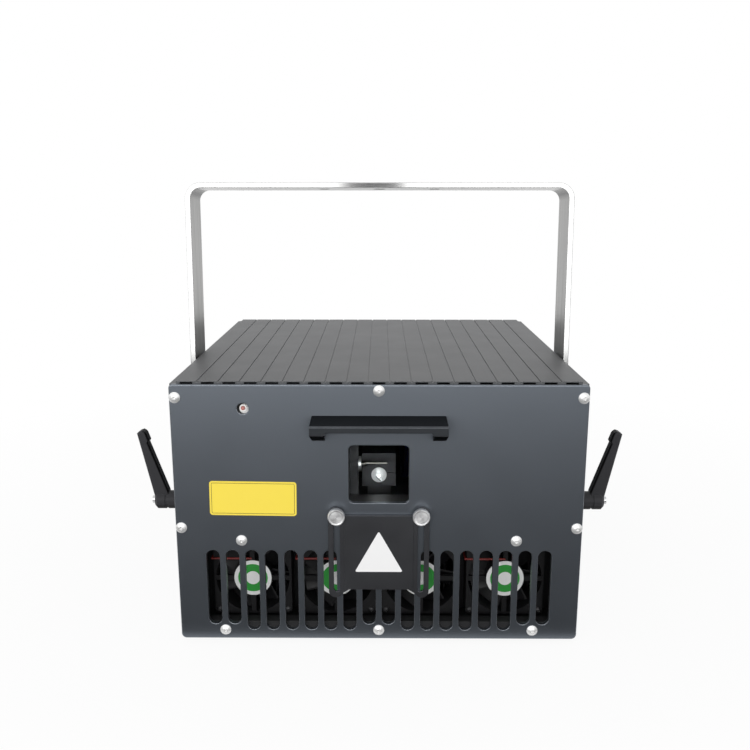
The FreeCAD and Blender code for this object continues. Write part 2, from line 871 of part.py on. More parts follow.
# Screws: each kind is modelled once, head up, and linked where it is used
def button_screw(name, head_radius, head_height, rim, radius, length, socket_radius, socket_depth):
    centre = ("0", "0")
    dome = f"({head_height} - {rim})"
    crown = f"({dome}^2 + {head_radius}^2) / (2 * {dome})"
    ball = doc.addObject("Part::Sphere", f"{name}_crown")
    bind(ball, "Radius", crown)
    bind(ball, "Placement.Base.z", f"{head_height} - {crown}")
    head = doc.addObject("Part::Common", f"{name}_head")
    head.Base = rod(f"{name}_disc", "z", head_radius, centre, "0", head_height)
    head.Tool = ball
    shank = rod(f"{name}_shank", "z", radius, centre, f"-({length})", "0")
    socket = doc.addObject("Part::Prism", f"{name}_socket")
    socket.Polygon = 6
    bind(socket, "Circumradius", socket_radius)
    bind(socket, "Height", f"{socket_depth} + overrun")
    bind(socket, "Placement.Base.z", f"{head_height} - {socket_depth}")
    return cut(name, join(f"{name}_solid", [head, shank]), [socket])


def sunk_screw(name):
    centre = ("0", "0")
    head = taper(f"{name}_head", "z", ("sunk_radius", "sunk_head_radius"), centre, "-sunk_head_height", "0")
    shank = rod(f"{name}_shank", "z", "sunk_radius", centre, "-sunk_length", "-sunk_head_height")
    socket = doc.addObject("Part::Prism", f"{name}_socket")
    socket.Polygon = 6
    bind(socket, "Circumradius", "sunk_socket_radius")
    bind(socket, "Height", "sunk_socket_depth + overrun")
    bind(socket, "Placement.Base.z", "-sunk_socket_depth")
    return cut(name, join(f"{name}_solid", [head, shank]), [socket])


HEAD_TURNS = {
    "front": Rotation(Vector(1, 0, 0), QUARTER_TURN),
    "rear": Rotation(Vector(1, 0, 0), -QUARTER_TURN),
    "right": Rotation(Vector(0, 1, 0), QUARTER_TURN),
    "left": Rotation(Vector(0, 1, 0), -QUARTER_TURN),
}


def fasten(name, master, facing, places):
    """Links to one screw, with the heads facing one way, at places given as sums."""
    links = []
    for index, place in enumerate(places, start=1):
        link = doc.addObject("App::Link", f"{name}_{facing}_{index}")
        link.LinkedObject = master
        link.Placement = Placement(Vector(), HEAD_TURNS[facing])
        put(link, *place)
        links.append(link)
    return links


# Base plate: a tray with a tapped rail along its front and rear edges
def base_plate():
    body = new_body("base_plate")
    front_rail, rear_rail = "front_thick + rail_depth", f"{BODY_BACK} - rail_depth"
    section = [
        (deep("front_thick"), high("0")),
        (deep(BODY_BACK), high("0")),
        (deep(BODY_BACK), high("rail_height")),
        (deep(rear_rail), high("rail_height")),
        (deep(rear_rail), high("base_thick")),
        (deep(front_rail), high("base_thick")),
        (deep(front_rail), high("rail_height")),
        (deep("front_thick"), high("rail_height")),
    ]
    pad(body, "YZ_Plane", *both(INNER), [outline(section)])
    tap_both_ends(body, [(f"{sign} * base_screw_side", "base_screw_rise") for sign in (-1, 0, 1)])
    hole_radius = "sunk_radius + thread_gap"
    side_holes = [circle(deep(depth), high("rail_height / 2"), hole_radius) for depth in BASE_SUNK_DEPTHS]
    for sign in SIDES.values():
        start = "case_width / 2 - sunk_length - thread_gap"
        pocket(body, "YZ_Plane", *span(sign, start, INNER), side_holes)
    node("base_plate", body)


def feet():
    across = "case_width / 2 - foot_inset"
    along = ("foot_inset", "case_depth - foot_inset")
    pads = []
    for sign in SIDES.values():
        for depth in along:
            place = (signed(sign, across), deep(depth))
            pads.append(rod("foot", "z", "foot_radius", place, "0", "foot_height"))
    node("feet", group("feet", pads))


# Front panel: beam window, vent slots and every hole that a screw or lamp passes through
def vent_slots():
    """Eighteen slots, shortened where a base screw sits below them."""
    slots = []
    for index in range(VENT_COUNT):
        low = "vent_short_rise" if index in SHORT_VENTS else "vent_low_rise"
        middle = f"({index} - {(VENT_COUNT - 1) / 2}) * vent_pitch"
        slots.append(slot(middle, high(low), high("vent_top_rise"), "vent_radius"))
    return slots


def front_panel():
    body = new_body("front_panel")
    face = rounded(both("case_width / 2"), high_span("-panel_drop", "panel_height"),
                   "panel_low_corner", "panel_high_corner")
    pad(body, "XZ_Plane", *deep_span("0", "front_thick"), [face])
    front = number(deep("0"))
    soften(body, "Chamfer", "panel_edge", lambda edge, middle: abs(middle.y - front) < CLOSE)
    window = rounded(WINDOW_X, WINDOW_Z, "window_corner", "window_corner")
    pocket(body, "XZ_Plane", *deep_span("0", "front_thick"), [window])
    pocket(body, "XZ_Plane", *deep_span("0", "front_thick"), vent_slots())
    holes = screw_holes(PANEL_SCREW_PLACES, CLEAR)
    holes.append(circle("-led_side", high("led_rise"), "led_hole_radius"))
    for sign in SIDES.values():
        thumb_x, leg_x = signed(sign, "guide_side"), signed(sign, VISOR_LEG_MID)
        holes.append(circle(thumb_x, high(THUMB_RISE), "thumb_shank_radius + thread_gap"))
        holes.append(circle(leg_x, high("visor_screw_rise"), "visor_screw_radius + screw_gap"))
    pocket(body, "XZ_Plane", *deep_span("0", "front_thick"), holes)
    node("front_panel", body)


# Rear panel: vent slots below, cut-outs for the sockets above
def rear_panel():
    body = new_body("rear_panel")
    thickness = deep_span(BODY_BACK, "case_depth")
    face = rounded(both("case_width / 2"), high_span("-panel_drop", "panel_height"),
                   "panel_low_corner", "panel_high_corner")
    pad(body, "XZ_Plane", *thickness, [face])
    rear = number(deep("case_depth"))
    soften(body, "Chamfer", "panel_edge", lambda edge, middle: abs(middle.y - rear) < CLOSE)
    vents = []
    for index in range(REAR_VENTS):
        middle = f"({index} - {(REAR_VENTS - 1) / 2}) * vent_pitch"
        vents.append(slot(middle, high("rear_vent_low_rise"), high("rear_vent_top_rise"), "vent_radius"))
    pocket(body, "XZ_Plane", *thickness, vents)
    holes = screw_holes(PANEL_SCREW_PLACES, CLEAR)
    holes.append(circle("lock_side", high("lock_rise"), "lock_radius + lock_hole_gap"))
    for index in range(2):
        holes.append(circle(light_side(index), high("lock_rise"), "light_radius + fitting_gap"))
        holes.append(rectangle(*show_cutout(index)))
    holes.append(rectangle(*inlet_cutout()))
    pocket(body, "XZ_Plane", *thickness, holes)
    node("rear_panel", body)


def light_side(index):
    return f"-(light_side + ({index} - {PITCH_SHARE}) * light_pitch)"


def show_rise(index):
    return f"(show_rise + ({index} - {PITCH_SHARE}) * show_pitch)"


def around(middle, size, margin="0"):
    """A stretch of one size, with a margin at each end, about a middle."""
    half = f"(({size}) / 2 + {margin})"
    return (f"{middle} - {half}", f"{middle} + {half}")


SHOW_X = "-show_side"


def show_cutout(index):
    x = around(SHOW_X, "show_shell_width", "fitting_gap")
    z = around(high(show_rise(index)), "show_shell_height", "fitting_gap")
    return x, z


def inlet_cutout():
    x = around("inlet_side", "inlet_width - 2 * inlet_lip", "fitting_gap")
    z = around(high("inlet_rise"), "inlet_height - 2 * inlet_lip", "fitting_gap")
    return x, z


# Side panels: thick plates tapped at both ends, with the pivot thread for the clamp stud
def side_panel(side, sign):
    body = new_body(f"{side}_side_panel")
    plate = rectangle(deep_span("front_thick", BODY_BACK), high_span("0", COVER_LOW))
    across = span(sign, INNER, "case_width / 2")
    pad(body, "YZ_Plane", *across, [plate])
    tap_both_ends(body, [place for place in PANEL_SCREW_PLACES if place[0] == f"{sign} * {SIDE_MID}"])
    pivot = circle(deep("pivot_depth"), high("pivot_rise"), "stud_radius + pivot_gap")
    pocket(body, "YZ_Plane", *across, [pivot])
    hole_radius = "sunk_radius + thread_gap"
    bodies_of_screws = [circle(deep(depth), high(DECK_MID), hole_radius) for depth in DECK_SUNK_DEPTHS]
    for depth in BASE_SUNK_DEPTHS:
        bodies_of_screws.append(circle(deep(depth), high("rail_height / 2"), hole_radius))
    pocket(body, "YZ_Plane", *across, bodies_of_screws)
    sinks = []
    outer = "case_width / 2"
    radii = ("sunk_radius + thread_gap", "sunk_head_radius + thread_gap")
    low, far = span(sign, f"{outer} - sunk_head_height - thread_gap", outer)
    for depth, rise in sunk_places():
        ends = radii if sign > 0 else radii[::-1]
        sinks.append(taper(f"{side}_sink", "x", ends, (deep(depth), high(rise)), low, far))
    node(f"{side}_side_panel", cut(f"{side}_sunk_panel", body, sinks))


def sunk_places():
    places = [(depth, DECK_MID) for depth in DECK_SUNK_DEPTHS]
    return places + [(depth, "rail_height / 2") for depth in BASE_SUNK_DEPTHS]


# Top cover: a ribbed sheet, hollow under each rib, with a rail below its front and rear edges
def top_cover():
    body = new_body("top_cover")
    length = deep_span("front_thick", BODY_BACK)
    top = high("panel_height + land_rise")
    pad(body, "XZ_Plane", *length, [rectangle(both("case_width / 2"), (high(COVER_LOW), top))])
    first_land = "(-(land_count - 1) / 2 * land_pitch)"
    groove_x = (f"{first_land} + land_width / 2", f"{first_land} + land_pitch - land_width / 2")
    groove_z = (f"{top} - groove_drop", f"{top} + overrun")
    groove = pocket(body, "XZ_Plane", *length, [rectangle(groove_x, groove_z)])
    repeat(body, groove, "land_count - 1", "land_pitch * (land_count - 2)")
    margins = []
    for sign in SIDES.values():
        last_land = "(land_count - 1) / 2 * land_pitch + land_width / 2"
        margin_z = (high("panel_height"), f"{top} + overrun")
        margins.append(rectangle(span(sign, last_land, "case_width / 2 + overrun"), margin_z))
    pocket(body, "XZ_Plane", *length, margins)
    hollow_x = (f"{first_land} - land_width / 2 + land_side", f"{first_land} + land_width / 2 - land_side")
    hollow_z = (f"{high(COVER_LOW)} - overrun", f"{top} - land_wall")
    hollow = pocket(body, "XZ_Plane", *length, [rectangle(hollow_x, hollow_z)])
    repeat(body, hollow, "land_count", "land_pitch * (land_count - 1)")
    rail_z = (f"{high(COVER_LOW)} - cover_rail_height", high(COVER_LOW))
    rail = rectangle(both(INNER), rail_z)
    pad(body, "XZ_Plane", *deep_span("front_thick", "front_thick + cover_rail_depth"), [rail])
    pad(body, "XZ_Plane", *deep_span(f"{BODY_BACK} - cover_rail_depth", BODY_BACK), [rail])
    hole = screw_holes(PANEL_SCREW_PLACES[-1:], TAPPED)
    pocket(body, "XZ_Plane", *deep_span("front_thick", "front_thick + cover_rail_depth"), hole)
    pocket(body, "XZ_Plane", *deep_span(f"{BODY_BACK} - cover_rail_depth", BODY_BACK), hole)
    node("top_cover", body)


# Hood: a bridge over the window on two sloping legs, screwed on from inside the case
def visor():
    body = new_body("visor")
    section = [
        (deep("0"), high("visor_root_rise")),
        (deep("-visor_reach"), high("visor_leg_rise")),
        (deep("-visor_reach"), high("visor_front_rise")),
        (deep("0"), high("visor_back_rise")),
    ]
    pad(body, "YZ_Plane", *both("visor_half"), [outline(section)])
    front, top = number(deep("-visor_reach")), number(high("visor_front_rise"))
    wanted = lambda edge, middle: abs(middle.y - front) < CLOSE and abs(middle.z - top) < CLOSE
    soften(body, "Chamfer", "visor_edge", wanted)
    half = "(visor_half - visor_leg_width)"
    low = high("visor_root_rise - overrun")
    lip = high("visor_lip_rise")
    arch = [
        (f"-{half}", low),
        (half, low),
        (half, f"{lip} - visor_inner_chamfer"),
        (f"{half} - visor_inner_chamfer", lip),
        (f"-{half} + visor_inner_chamfer", lip),
        (f"-{half}", f"{lip} - visor_inner_chamfer"),
    ]
    pocket(body, "XZ_Plane", *deep_span("-visor_reach", "0"), [outline(arch)])
    holes = []
    for sign in SIDES.values():
        leg_x = signed(sign, VISOR_LEG_MID)
        holes.append(circle(leg_x, high("visor_screw_rise"), "visor_screw_radius + thread_gap"))
    hole_end = "front_thick - visor_screw_length - thread_gap"
    pocket(body, "XZ_Plane", *deep_span(hole_end, "0"), holes)
    node("visor", body)


def tunnel_and_glass():
    outer_x = both("window_size / 2 + tunnel_wall")
    outer_z = high_span("window_rise - window_size / 2 - tunnel_wall",
                        "window_rise + window_size / 2 + tunnel_wall")
    tunnel_end = "front_thick + tunnel_depth"
    shell = block("tunnel_shell", outer_x, deep_span("front_thick", tunnel_end), outer_z)
    bore_depth = deep_span("front_thick - overrun", f"{tunnel_end} + overrun")
    bore = block("tunnel_bore", WINDOW_X, bore_depth, WINDOW_Z)
    node("aperture_tunnel", cut("aperture_tunnel", shell, [bore]))
    pane = block("aperture_glass", outer_x, deep_span(tunnel_end, f"{tunnel_end} + glass_thick"), outer_z)
    node("aperture_glass", pane)


# Indicator: a white holder behind the panel and a red lamp in it
def indicator():
    centre = ("-led_side", high("led_rise"))
    back = "front_thick + led_board_thick"
    board = rod("led_board", "y", "led_board_radius", centre, deep("front_thick"), deep(back))
    ring = rod("led_ring", "y", "led_ring_radius", centre,
               deep("front_thick - led_ring_reach"), deep("front_thick"))
    bore = rod("led_bore", "y", "led_radius + thread_gap", centre, deep("0"), deep(f"{back} + overrun"))
    node("led_holder", cut("led_holder", join("led_holder_solid", [board, ring]), [bore]))
    lens = rod("led_lens", "y", "led_radius", centre, deep("front_thick - led_reach"), deep(back))
    dome = doc.addObject("Part::Sphere", "led_dome")
    bind(dome, "Radius", "led_radius")
    put(dome, "-led_side", deep("front_thick - led_reach"), high("led_rise"))
    node("emission_led", join("emission_led", [lens, dome]))


# Shutter: a plate with two slotted ears, which slides up over the window between the hood's legs
def shutter_plate():
    body = new_body("shutter_plate")
    face = "shutter_gap + shutter_thick"
    thickness = deep_span(f"-({face})", "-shutter_gap")
    ear_mid = "(shutter_half - ear_radius)"
    foot_in = f"({ear_mid} - ear_foot_width)"
    low, top = high("shutter_low_rise"), high("shutter_top_rise")
    ear_low, ear_top = high("ear_low_rise + ear_radius"), high("ear_top_rise - ear_radius")
    right_side = [
        (f"{foot_in} - ear_foot_slope", low),
        (foot_in, high("ear_low_rise + ear_radius / 2")),
        (ear_mid, ear_low),
        (ear_mid, ear_top),
        (foot_in, ear_top),
        (f"{foot_in} - ear_neck_slope", top),
    ]
    left_side = [(f"-({x})", z) for x, z in reversed(right_side)]
    pad(body, "XZ_Plane", *thickness, [outline(right_side + left_side)])
    ears = []
    guides = []
    for sign in SIDES.values():
        ears.append(slot(signed(sign, ear_mid), high("ear_low_rise"), high("ear_top_rise"), "ear_radius"))
        guide_x = signed(sign, "guide_side")
        guides.append(slot(guide_x, high("guide_low_rise"), high("guide_top_rise"), "guide_radius"))
    pad(body, "XZ_Plane", *thickness, ears)
    boss = rectangle(both("guide_side - shutter_boss_inset"), (low, top))
    pad(body, "XZ_Plane", *deep_span(f"-({face} + shutter_boss)", f"-({face})"), [boss])
    pocket(body, "XZ_Plane", *thickness, guides)
    node("shutter_plate", body)


def thumb_screw(side, sign):
    centre = (signed(sign, "guide_side"), high(THUMB_RISE))
    seat = "(shutter_gap + shutter_thick + shutter_gap)"
    neck = f"({seat} + thumb_collar_height)"
    name = f"thumb_screw_{side}"
    shank = rod(f"{name}_shank", "y", "thumb_shank_radius", centre, deep(f"-{seat}"), deep("front_thick"))
    collar = rod(f"{name}_collar", "y", "thumb_collar_radius", centre, deep(f"-{neck}"), deep(f"-{seat}"))
    head = rod(f"{name}_head", "y", "thumb_radius", centre,
               deep("thumb_edge - thumb_reach"), deep(f"-{neck}"))
    rim = ("thumb_radius - thumb_edge", "thumb_radius")
    edge = taper(f"{name}_edge", "y", rim, centre, deep("-thumb_reach"), deep("thumb_edge - thumb_reach"))
    dish_end = deep("thumb_dish_depth - thumb_reach")
    dish = rod(f"{name}_dish", "y", "thumb_dish_radius", centre, deep("-thumb_reach - overrun"), dish_end)
    node(name, cut(name, join(f"{name}_solid", [shank, collar, head, edge]), [dish]))


# Fans: a square frame with a hub on struts and a sleeve, and an impeller that turns on the sleeve
def fan_side(index):
    return f"({index} - {(FAN_COUNT - 1) / 2}) * fan_pitch"


def fan_corners(index):
    corners = []
    for across in SIDES.values():
        for up in SIDES.values():
            x = f"{fan_side(index)} + {across} * fan_hole_side"
            corners.append((x, f"fan_rise + {up} * fan_hole_side"))
    return corners


def fan_frame(index):
    body = new_body(f"fan_frame_{index + 1}")
    half = both("fan_size / 2")
    pad(body, "XZ_Plane", "0", "fan_thick", [rounded(half, half, "fan_corner", "fan_corner")])
    pocket(body, "XZ_Plane", "0", "fan_thick", [circle("0", "0", "fan_bore_radius")])
    reach = both("(fan_bore_radius + fan_size / 2) / 2")
    pad(body, "XZ_Plane", "0", "fan_strut_thick", [rectangle(reach, both("fan_strut_width / 2"))])
    pad(body, "XZ_Plane", "0", "fan_strut_thick", [rectangle(both("fan_strut_width / 2"), reach)])
    pad(body, "XZ_Plane", "0", "fan_hub_thick", [circle("0", "0", "fan_hub_radius")])
    pad(body, "XZ_Plane", "fan_hub_thick", "fan_sleeve_end", [circle("0", "0", "fan_sleeve_radius")])
    holes = []
    for across in SIDES.values():
        for up in SIDES.values():
            x, z = signed(across, "fan_hole_side"), signed(up, "fan_hole_side")
            holes.append(circle(x, z, "fan_screw_radius + screw_gap"))
    pocket(body, "XZ_Plane", "0", "fan_thick", holes)
    put(body, fan_side(index), deep("fan_depth"), high("fan_rise"))
    node(f"fan_frame_{index + 1}", body)


def fan_impeller(index):
    body = new_body(f"fan_impeller_{index + 1}")
    start, end = "fan_hub_thick + impeller_gap", "fan_thick - impeller_back_gap"
    pad(body, "XZ_Plane", start, end, [circle("0", "0", "impeller_radius")])
    bore_end = f"{end} - impeller_cap"
    bore = circle("0", "0", "fan_sleeve_radius + impeller_running_gap")
    pocket(body, "XZ_Plane", start, bore_end, [bore])
    low, top = f"{start} + blade_margin", f"{end} - blade_margin"
    section = [
        ("-blade_lean", low),
        ("blade_thick - blade_lean", low),
        ("blade_lean", top),
        ("blade_lean - blade_thick", top),
    ]
    blade_root = "impeller_radius - blade_thick"
    blade = pad(body, "XY_Plane", blade_root, "blade_tip_radius", [outline(section)])
    pattern = body.newObject("PartDesign::PolarPattern", f"{body.Name}_ring")
    pattern.Originals = [blade]
    pattern.Axis = (origin_feature(body, "Y_Axis"), [""])
    pattern.Angle = FULL_TURN
    bind(pattern, "Occurrences", "blade_count")
    body.Tip = pattern
    doc.recompute()
    put(body, fan_side(index), deep("fan_depth"), high("fan_rise"))
    node(f"fan_impeller_{index + 1}", body)


def fan_bulkhead():
    body = new_body("fan_bulkhead")
    thickness = deep_span("fan_back - bulkhead_thick", "fan_back")
    pad(body, "XZ_Plane", *thickness, [rectangle(both(INNER), high_span("base_thick", "deck_rise"))])
    holes = []
    for index in range(FAN_COUNT):
        holes.append(circle(fan_side(index), high("fan_rise"), "fan_bore_radius"))
        holes += screw_holes(fan_corners(index), "fan_screw_radius + thread_gap")
    pocket(body, "XZ_Plane", *thickness, holes)
    node("fan_bulkhead", body)


def fan_leads():
    """Each lead leaves the upper arm, crosses the frame and turns back to the bulkhead."""
    leads = []
    for index in range(FAN_COUNT):
        front = deep("fan_depth - lead_radius")
        rise = high("fan_rise + lead_rise")
        start = f"{fan_side(index)} - lead_start"
        corner = f"{fan_side(index)} - fan_size / 2 - lead_radius - lead_clear"
        back = deep("fan_depth + fan_thick")
        across = rod("lead_across", "x", "lead_radius", (front, rise), corner, start)
        along = rod("lead_along", "y", "lead_radius", (corner, rise), front, back)
        elbow = doc.addObject("Part::Sphere", "lead_elbow")
        bind(elbow, "Radius", "lead_radius")
        put(elbow, corner, front, rise)
        leads.append(join("fan_lead", [across, along, elbow]))
    node("fan_leads", group("fan_leads", leads))


def heat_sink():
    body = new_body("heat_sink")
    start = "fan_back + sink_front_gap"
    length = deep_span(start, f"{start} + sink_length")
    base_z = high_span("deck_rise - sink_base", "deck_rise")
    pad(body, "XZ_Plane", *length, [rectangle(both("sink_half"), base_z)])
    fin_x = ("-sink_half", "fin_thick - sink_half")
    fin_z = high_span("fin_low_rise", "deck_rise - sink_base")
    fin = pad(body, "XZ_Plane", *length, [rectangle(fin_x, fin_z)])
    repeat(body, fin, "fin_count", "2 * sink_half - fin_thick")
    node("heat_sink", body)


# Optical deck: a thick plate across the case, tapped for the front, rear and side screws
def optical_plate():
    body = new_body("optical_plate")
    plate = rectangle(both(INNER), deep_span("front_thick", BODY_BACK))
    pad(body, "XY_Plane", *high_span("deck_rise", DECK_TOP), [plate])
    tap_both_ends(body, [(f"{sign} * deck_screw_side", DECK_MID) for sign in SIDES.values()])
    holes = [circle(deep(depth), high(DECK_MID), "sunk_radius + thread_gap") for depth in DECK_SUNK_DEPTHS]
    for sign in SIDES.values():
        pocket(body, "YZ_Plane", *span(sign, "case_width / 2 - sunk_length - thread_gap", INNER), holes)
    node("optical_plate", body)


def laser_side(index):
    return f"(laser_first_side + {index} * laser_pitch)"


def laser_module(colour, index):
    name = f"{colour}_laser_module"
    middle = laser_side(index)
    depth = deep_span("laser_front_depth", "laser_front_depth + laser_length")
    can_low = f"{DECK_TOP} + laser_flange_thick"
    can_z = high_span(can_low, "beam_rise + laser_crown")
    can = block(f"{name}_can", around(middle, "laser_width"), depth, can_z)
    flange_x = around(middle, "laser_width", "laser_flange")
    flange = block(f"{name}_flange", flange_x, depth, high_span(DECK_TOP, can_low))
    centre = (middle, high("beam_rise"))
    nose = deep("laser_front_depth - snout_length")
    snout = rod(f"{name}_snout", "y", "snout_radius", centre, nose, deep("laser_front_depth"))
    bore = rod(f"{name}_bore", "y", "beam_bore", centre, f"{nose} - overrun", deep("laser_front_depth"))
    node(name, cut(name, join(f"{name}_solid", [can, flange, snout]), [bore]))


def turned_block(name, width, thickness, centre_x, centre_y, z):
    """An upright plate turned about its own middle by the mirror angle."""
    plate = doc.addObject("Part::Box", name)
    bind(plate, "Length", width)
    bind(plate, "Width", thickness)
    bind(plate, "Height", f"({z[1]}) - ({z[0]})")
    plate.Placement = Placement(Vector(), Rotation(Vector(0, 0, 1), number("mirror_turn")))
    bind(plate, "Placement.Rotation.Angle", "mirror_turn")
    sine, cosine = "sin(mirror_turn * 1 deg)", "cos(mirror_turn * 1 deg)"
    x = f"{centre_x} - (({width}) * {cosine} - ({thickness}) * {sine}) / 2"
    y = f"{centre_y} - (({width}) * {sine} + ({thickness}) * {cosine}) / 2"
    put(plate, x, y, z[0])
    return plate


def beam_mirrors():
    """A turning mirror for each laser, standing on a post at the height of the beam."""
    posts = []
    mirrors = []
    foot = "beam_rise - mirror_below_beam"
    for index in range(LASER_COUNT):
        place = (laser_side(index), deep("beam_depth"))
        posts.append(turned_block("post", "post_width", "post_width", *place, high_span(DECK_TOP, foot)))
        mirror_z = high_span(foot, f"{foot} + mirror_height")
        mirrors.append(turned_block("mirror", "mirror_width", "mirror_thick", *place, mirror_z))
    node("mirror_mounts", group("mirror_mounts", posts))
    node("beam_mirrors", group("beam_mirrors", mirrors))


# Scanner: one motor in the block faces forward, the other lies in a cheek on its left
CHEEK_X = ("-scanner_side - cheek_gap - cheek_thick", "-scanner_side - cheek_gap")
MOTOR_X_START = f"({CHEEK_X[1]} + motor_x_reach)"


def galvo_mount():
    depth = deep_span("scanner_depth", "scanner_depth + scanner_length")
    top = "scanner_low_rise + scanner_height"
    head = block("galvo_head", both("scanner_side"), depth, high_span("scanner_low_rise", top))
    foot_depth = deep_span("scanner_depth + pedestal_inset",
                           "scanner_depth + scanner_length - pedestal_inset")
    foot = block("galvo_foot", both("pedestal_side"), foot_depth, high_span(DECK_TOP, "scanner_low_rise"))
    cheek_depth = deep_span("cheek_front_depth", "scanner_depth + cheek_back")
    cheek_z = high_span(DECK_TOP, "window_rise + window_size / 2")
    cheek = block("galvo_cheek", CHEEK_X, cheek_depth, cheek_z)
    base_depth = (cheek_depth[0], foot_depth[1])
    base_z = high_span(DECK_TOP, f"{DECK_TOP} + scanner_base")
    base = block("galvo_base", (CHEEK_X[0], "pedestal_side"), base_depth, base_z)
    bore_depth = deep_span("scanner_depth - overrun", "scanner_depth + scanner_length + overrun")
    slit_z = around(high("beam_rise + clamp_slit_lift"), "clamp_slit")
    slit = block("galvo_slit", ("0", "scanner_side + overrun"), bore_depth, slit_z)
    y_bore = rod("galvo_y_bore", "y", "motor_radius + motor_gap", ("0", high("beam_rise")), *bore_depth)
    x_centre = (deep("beam_depth"), high("motor_x_rise"))
    x_bore = rod("galvo_x_bore", "x", "motor_radius + motor_gap", x_centre,
                 f"{CHEEK_X[0]} - overrun", f"{CHEEK_X[1]} + overrun")
    solid = join("galvo_solid", [head, foot, cheek, base])
    node("galvo_mount", cut("galvo_mount", solid, [y_bore, x_bore, slit]))


def galvo_motors():
    shaft_gap = "mirror_shaft_radius + motor_gap"
    y_start = "scanner_depth - motor_y_reach"
    y_centre = ("0", high("beam_rise"))
    y_can = rod("motor_y_can", "y", "motor_radius", y_centre,
                deep(y_start), deep(f"{y_start} + motor_y_length"))
    y_bore = rod("motor_y_bore", "y", shaft_gap, y_centre, deep(f"{y_start} - overrun"),
                 deep(f"{y_start} + mirror_shaft_depth"))
    node("galvo_motor_y", cut("galvo_motor_y", y_can, [y_bore]))
    x_centre = (deep("beam_depth"), high("motor_x_rise"))
    x_can = rod("motor_x_can", "x", "motor_radius", x_centre,
                f"{MOTOR_X_START} - motor_x_length", MOTOR_X_START)
    x_bore = rod("motor_x_bore", "x", shaft_gap, x_centre, f"{MOTOR_X_START} - mirror_shaft_depth",
                 f"{MOTOR_X_START} + overrun")
    node("galvo_motor_x", cut("galvo_motor_x", x_can, [x_bore]))


def tilted_plate(name, role, angle, width, lengthwise):
    """A mirror plate about a turning axis, in a body whose origin lies on that axis."""
    body = new_body(name)
    half_width, half_thick = both(f"{width} / 2"), both("scan_mirror_thick / 2")
    plane = "YZ_Plane" if role == "x" else "XZ_Plane"
    pad(body, plane, *lengthwise, [rectangle(half_width, half_thick)])
    axis = Vector(-1, 0, 0) if role == "x" else Vector(0, 1, 0)
    body.Placement = Placement(Vector(), Rotation(axis, number(angle)))
    bind(body, "Placement.Rotation.Angle", angle)
    return body


def scan_mirrors():
    """Each mirror is a small plate on a seat and a shaft that runs into its motor."""
    x_centre = (deep("beam_depth"), high("motor_x_rise"))
    x_plate = tilted_plate("scan_x_plate", "x", "scan_x_turn", "scan_x_width", ("0", "scan_x_length"))
    put(x_plate, f"{MOTOR_X_START} + scan_x_start", *x_centre)
    x_in = f"{MOTOR_X_START} - mirror_shaft_depth + overrun"
    x_shaft = rod("scan_x_shaft", "x", "mirror_shaft_radius", x_centre,
                  x_in, f"{MOTOR_X_START} + scan_x_start")
    x_seat = rod("scan_x_seat", "x", "seat_radius", x_centre, f"{MOTOR_X_START} + scan_x_start / 2",
                 f"{MOTOR_X_START} + 2 * scan_x_start")
    node("scan_mirror_x", join("scan_mirror_x", [x_plate, x_shaft, x_seat]))
    y_front = "(scanner_depth - motor_y_reach)"
    y_centre = ("0", high("beam_rise"))
    y_plate = tilted_plate("scan_y_plate", "y", "scan_y_turn", "scan_y_width", ("-scan_y_length", "0"))
    put(y_plate, "0", deep(f"{y_front} - scan_y_start"), high("beam_rise"))
    y_in = deep(f"{y_front} + mirror_shaft_depth - overrun")
    y_shaft = rod("scan_y_shaft", "y", "mirror_shaft_radius", y_centre,
                  deep(f"{y_front} - scan_y_start"), y_in)
    y_seat = rod("scan_y_seat", "y", "seat_radius", y_centre, deep(f"{y_front} - 2 * scan_y_start"),
                 deep(f"{y_front} - scan_y_start / 2"))
    node("scan_mirror_y", join("scan_mirror_y", [y_plate, y_shaft, y_seat]))


# Electronics: a caged supply on the base plate, two boards on standoffs on the deck
def power_supply():
    x = ("-supply_outer_side", "supply_width - supply_outer_side")
    depth = deep_span("supply_front_depth", "supply_front_depth + supply_length")
    z = high_span("base_thick", "base_thick + supply_height")
    cage = block("supply_cage", x, depth, z)
    inner_x = (f"{x[0]} + supply_sheet", f"{x[1]} - supply_sheet")
    inner_z = (f"{z[0]} + supply_sheet", f"{z[1]} - supply_sheet")
    inner_y = (f"{depth[0]} - overrun", f"{depth[0]} + supply_mouth")
    node("power_supply", cut("power_supply", cage, [block("supply_mouth", inner_x, inner_y, inner_z)]))


def board(name, width, front, length):
    x = ("-board_outer_side", f"{width} - board_outer_side")
    depth = deep_span(front, f"{front} + {length}")
    low = f"{DECK_TOP} + standoff_height"
    top = f"{low} + board_thick"
    sheet_of_board = block(f"{name}_sheet", x, depth, high_span(low, top))
    chip_x = around(f"({x[0]} + {x[1]}) / 2", "chip_width")
    chip_y = around(f"({depth[0]} + {depth[1]}) / 2", "chip_width")
    chip = block(f"{name}_chip", chip_x, chip_y, high_span(top, f"{top} + chip_height"))
    cooler_x = (f"{x[0]} + part_inset", f"{x[0]} + part_inset + cooler_width")
    cooler_y = (f"{depth[0]} + part_inset", f"{depth[1]} - part_inset")
    cooler = block(f"{name}_cooler", cooler_x, cooler_y, high_span(top, f"{top} + cooler_height"))
    node(name, join(name, [sheet_of_board, chip, cooler]))
    pillars = []
    for along in (f"{depth[0]} + standoff_inset", f"{depth[1]} - standoff_inset"):
        for across in (f"{x[0]} + standoff_inset", f"{x[1]} - standoff_inset"):
            place = (across, along)
            pillars.append(rod("standoff", "z", "standoff_radius", place, high(DECK_TOP), high(low)))
    return pillars


def boards():
    pillars = board("control_board", "control_width", "control_front_depth", "control_length")
    pillars += board("driver_board", "driver_width", "driver_front_depth", "driver_length")
    node("board_standoffs", group("board_standoffs", pillars))


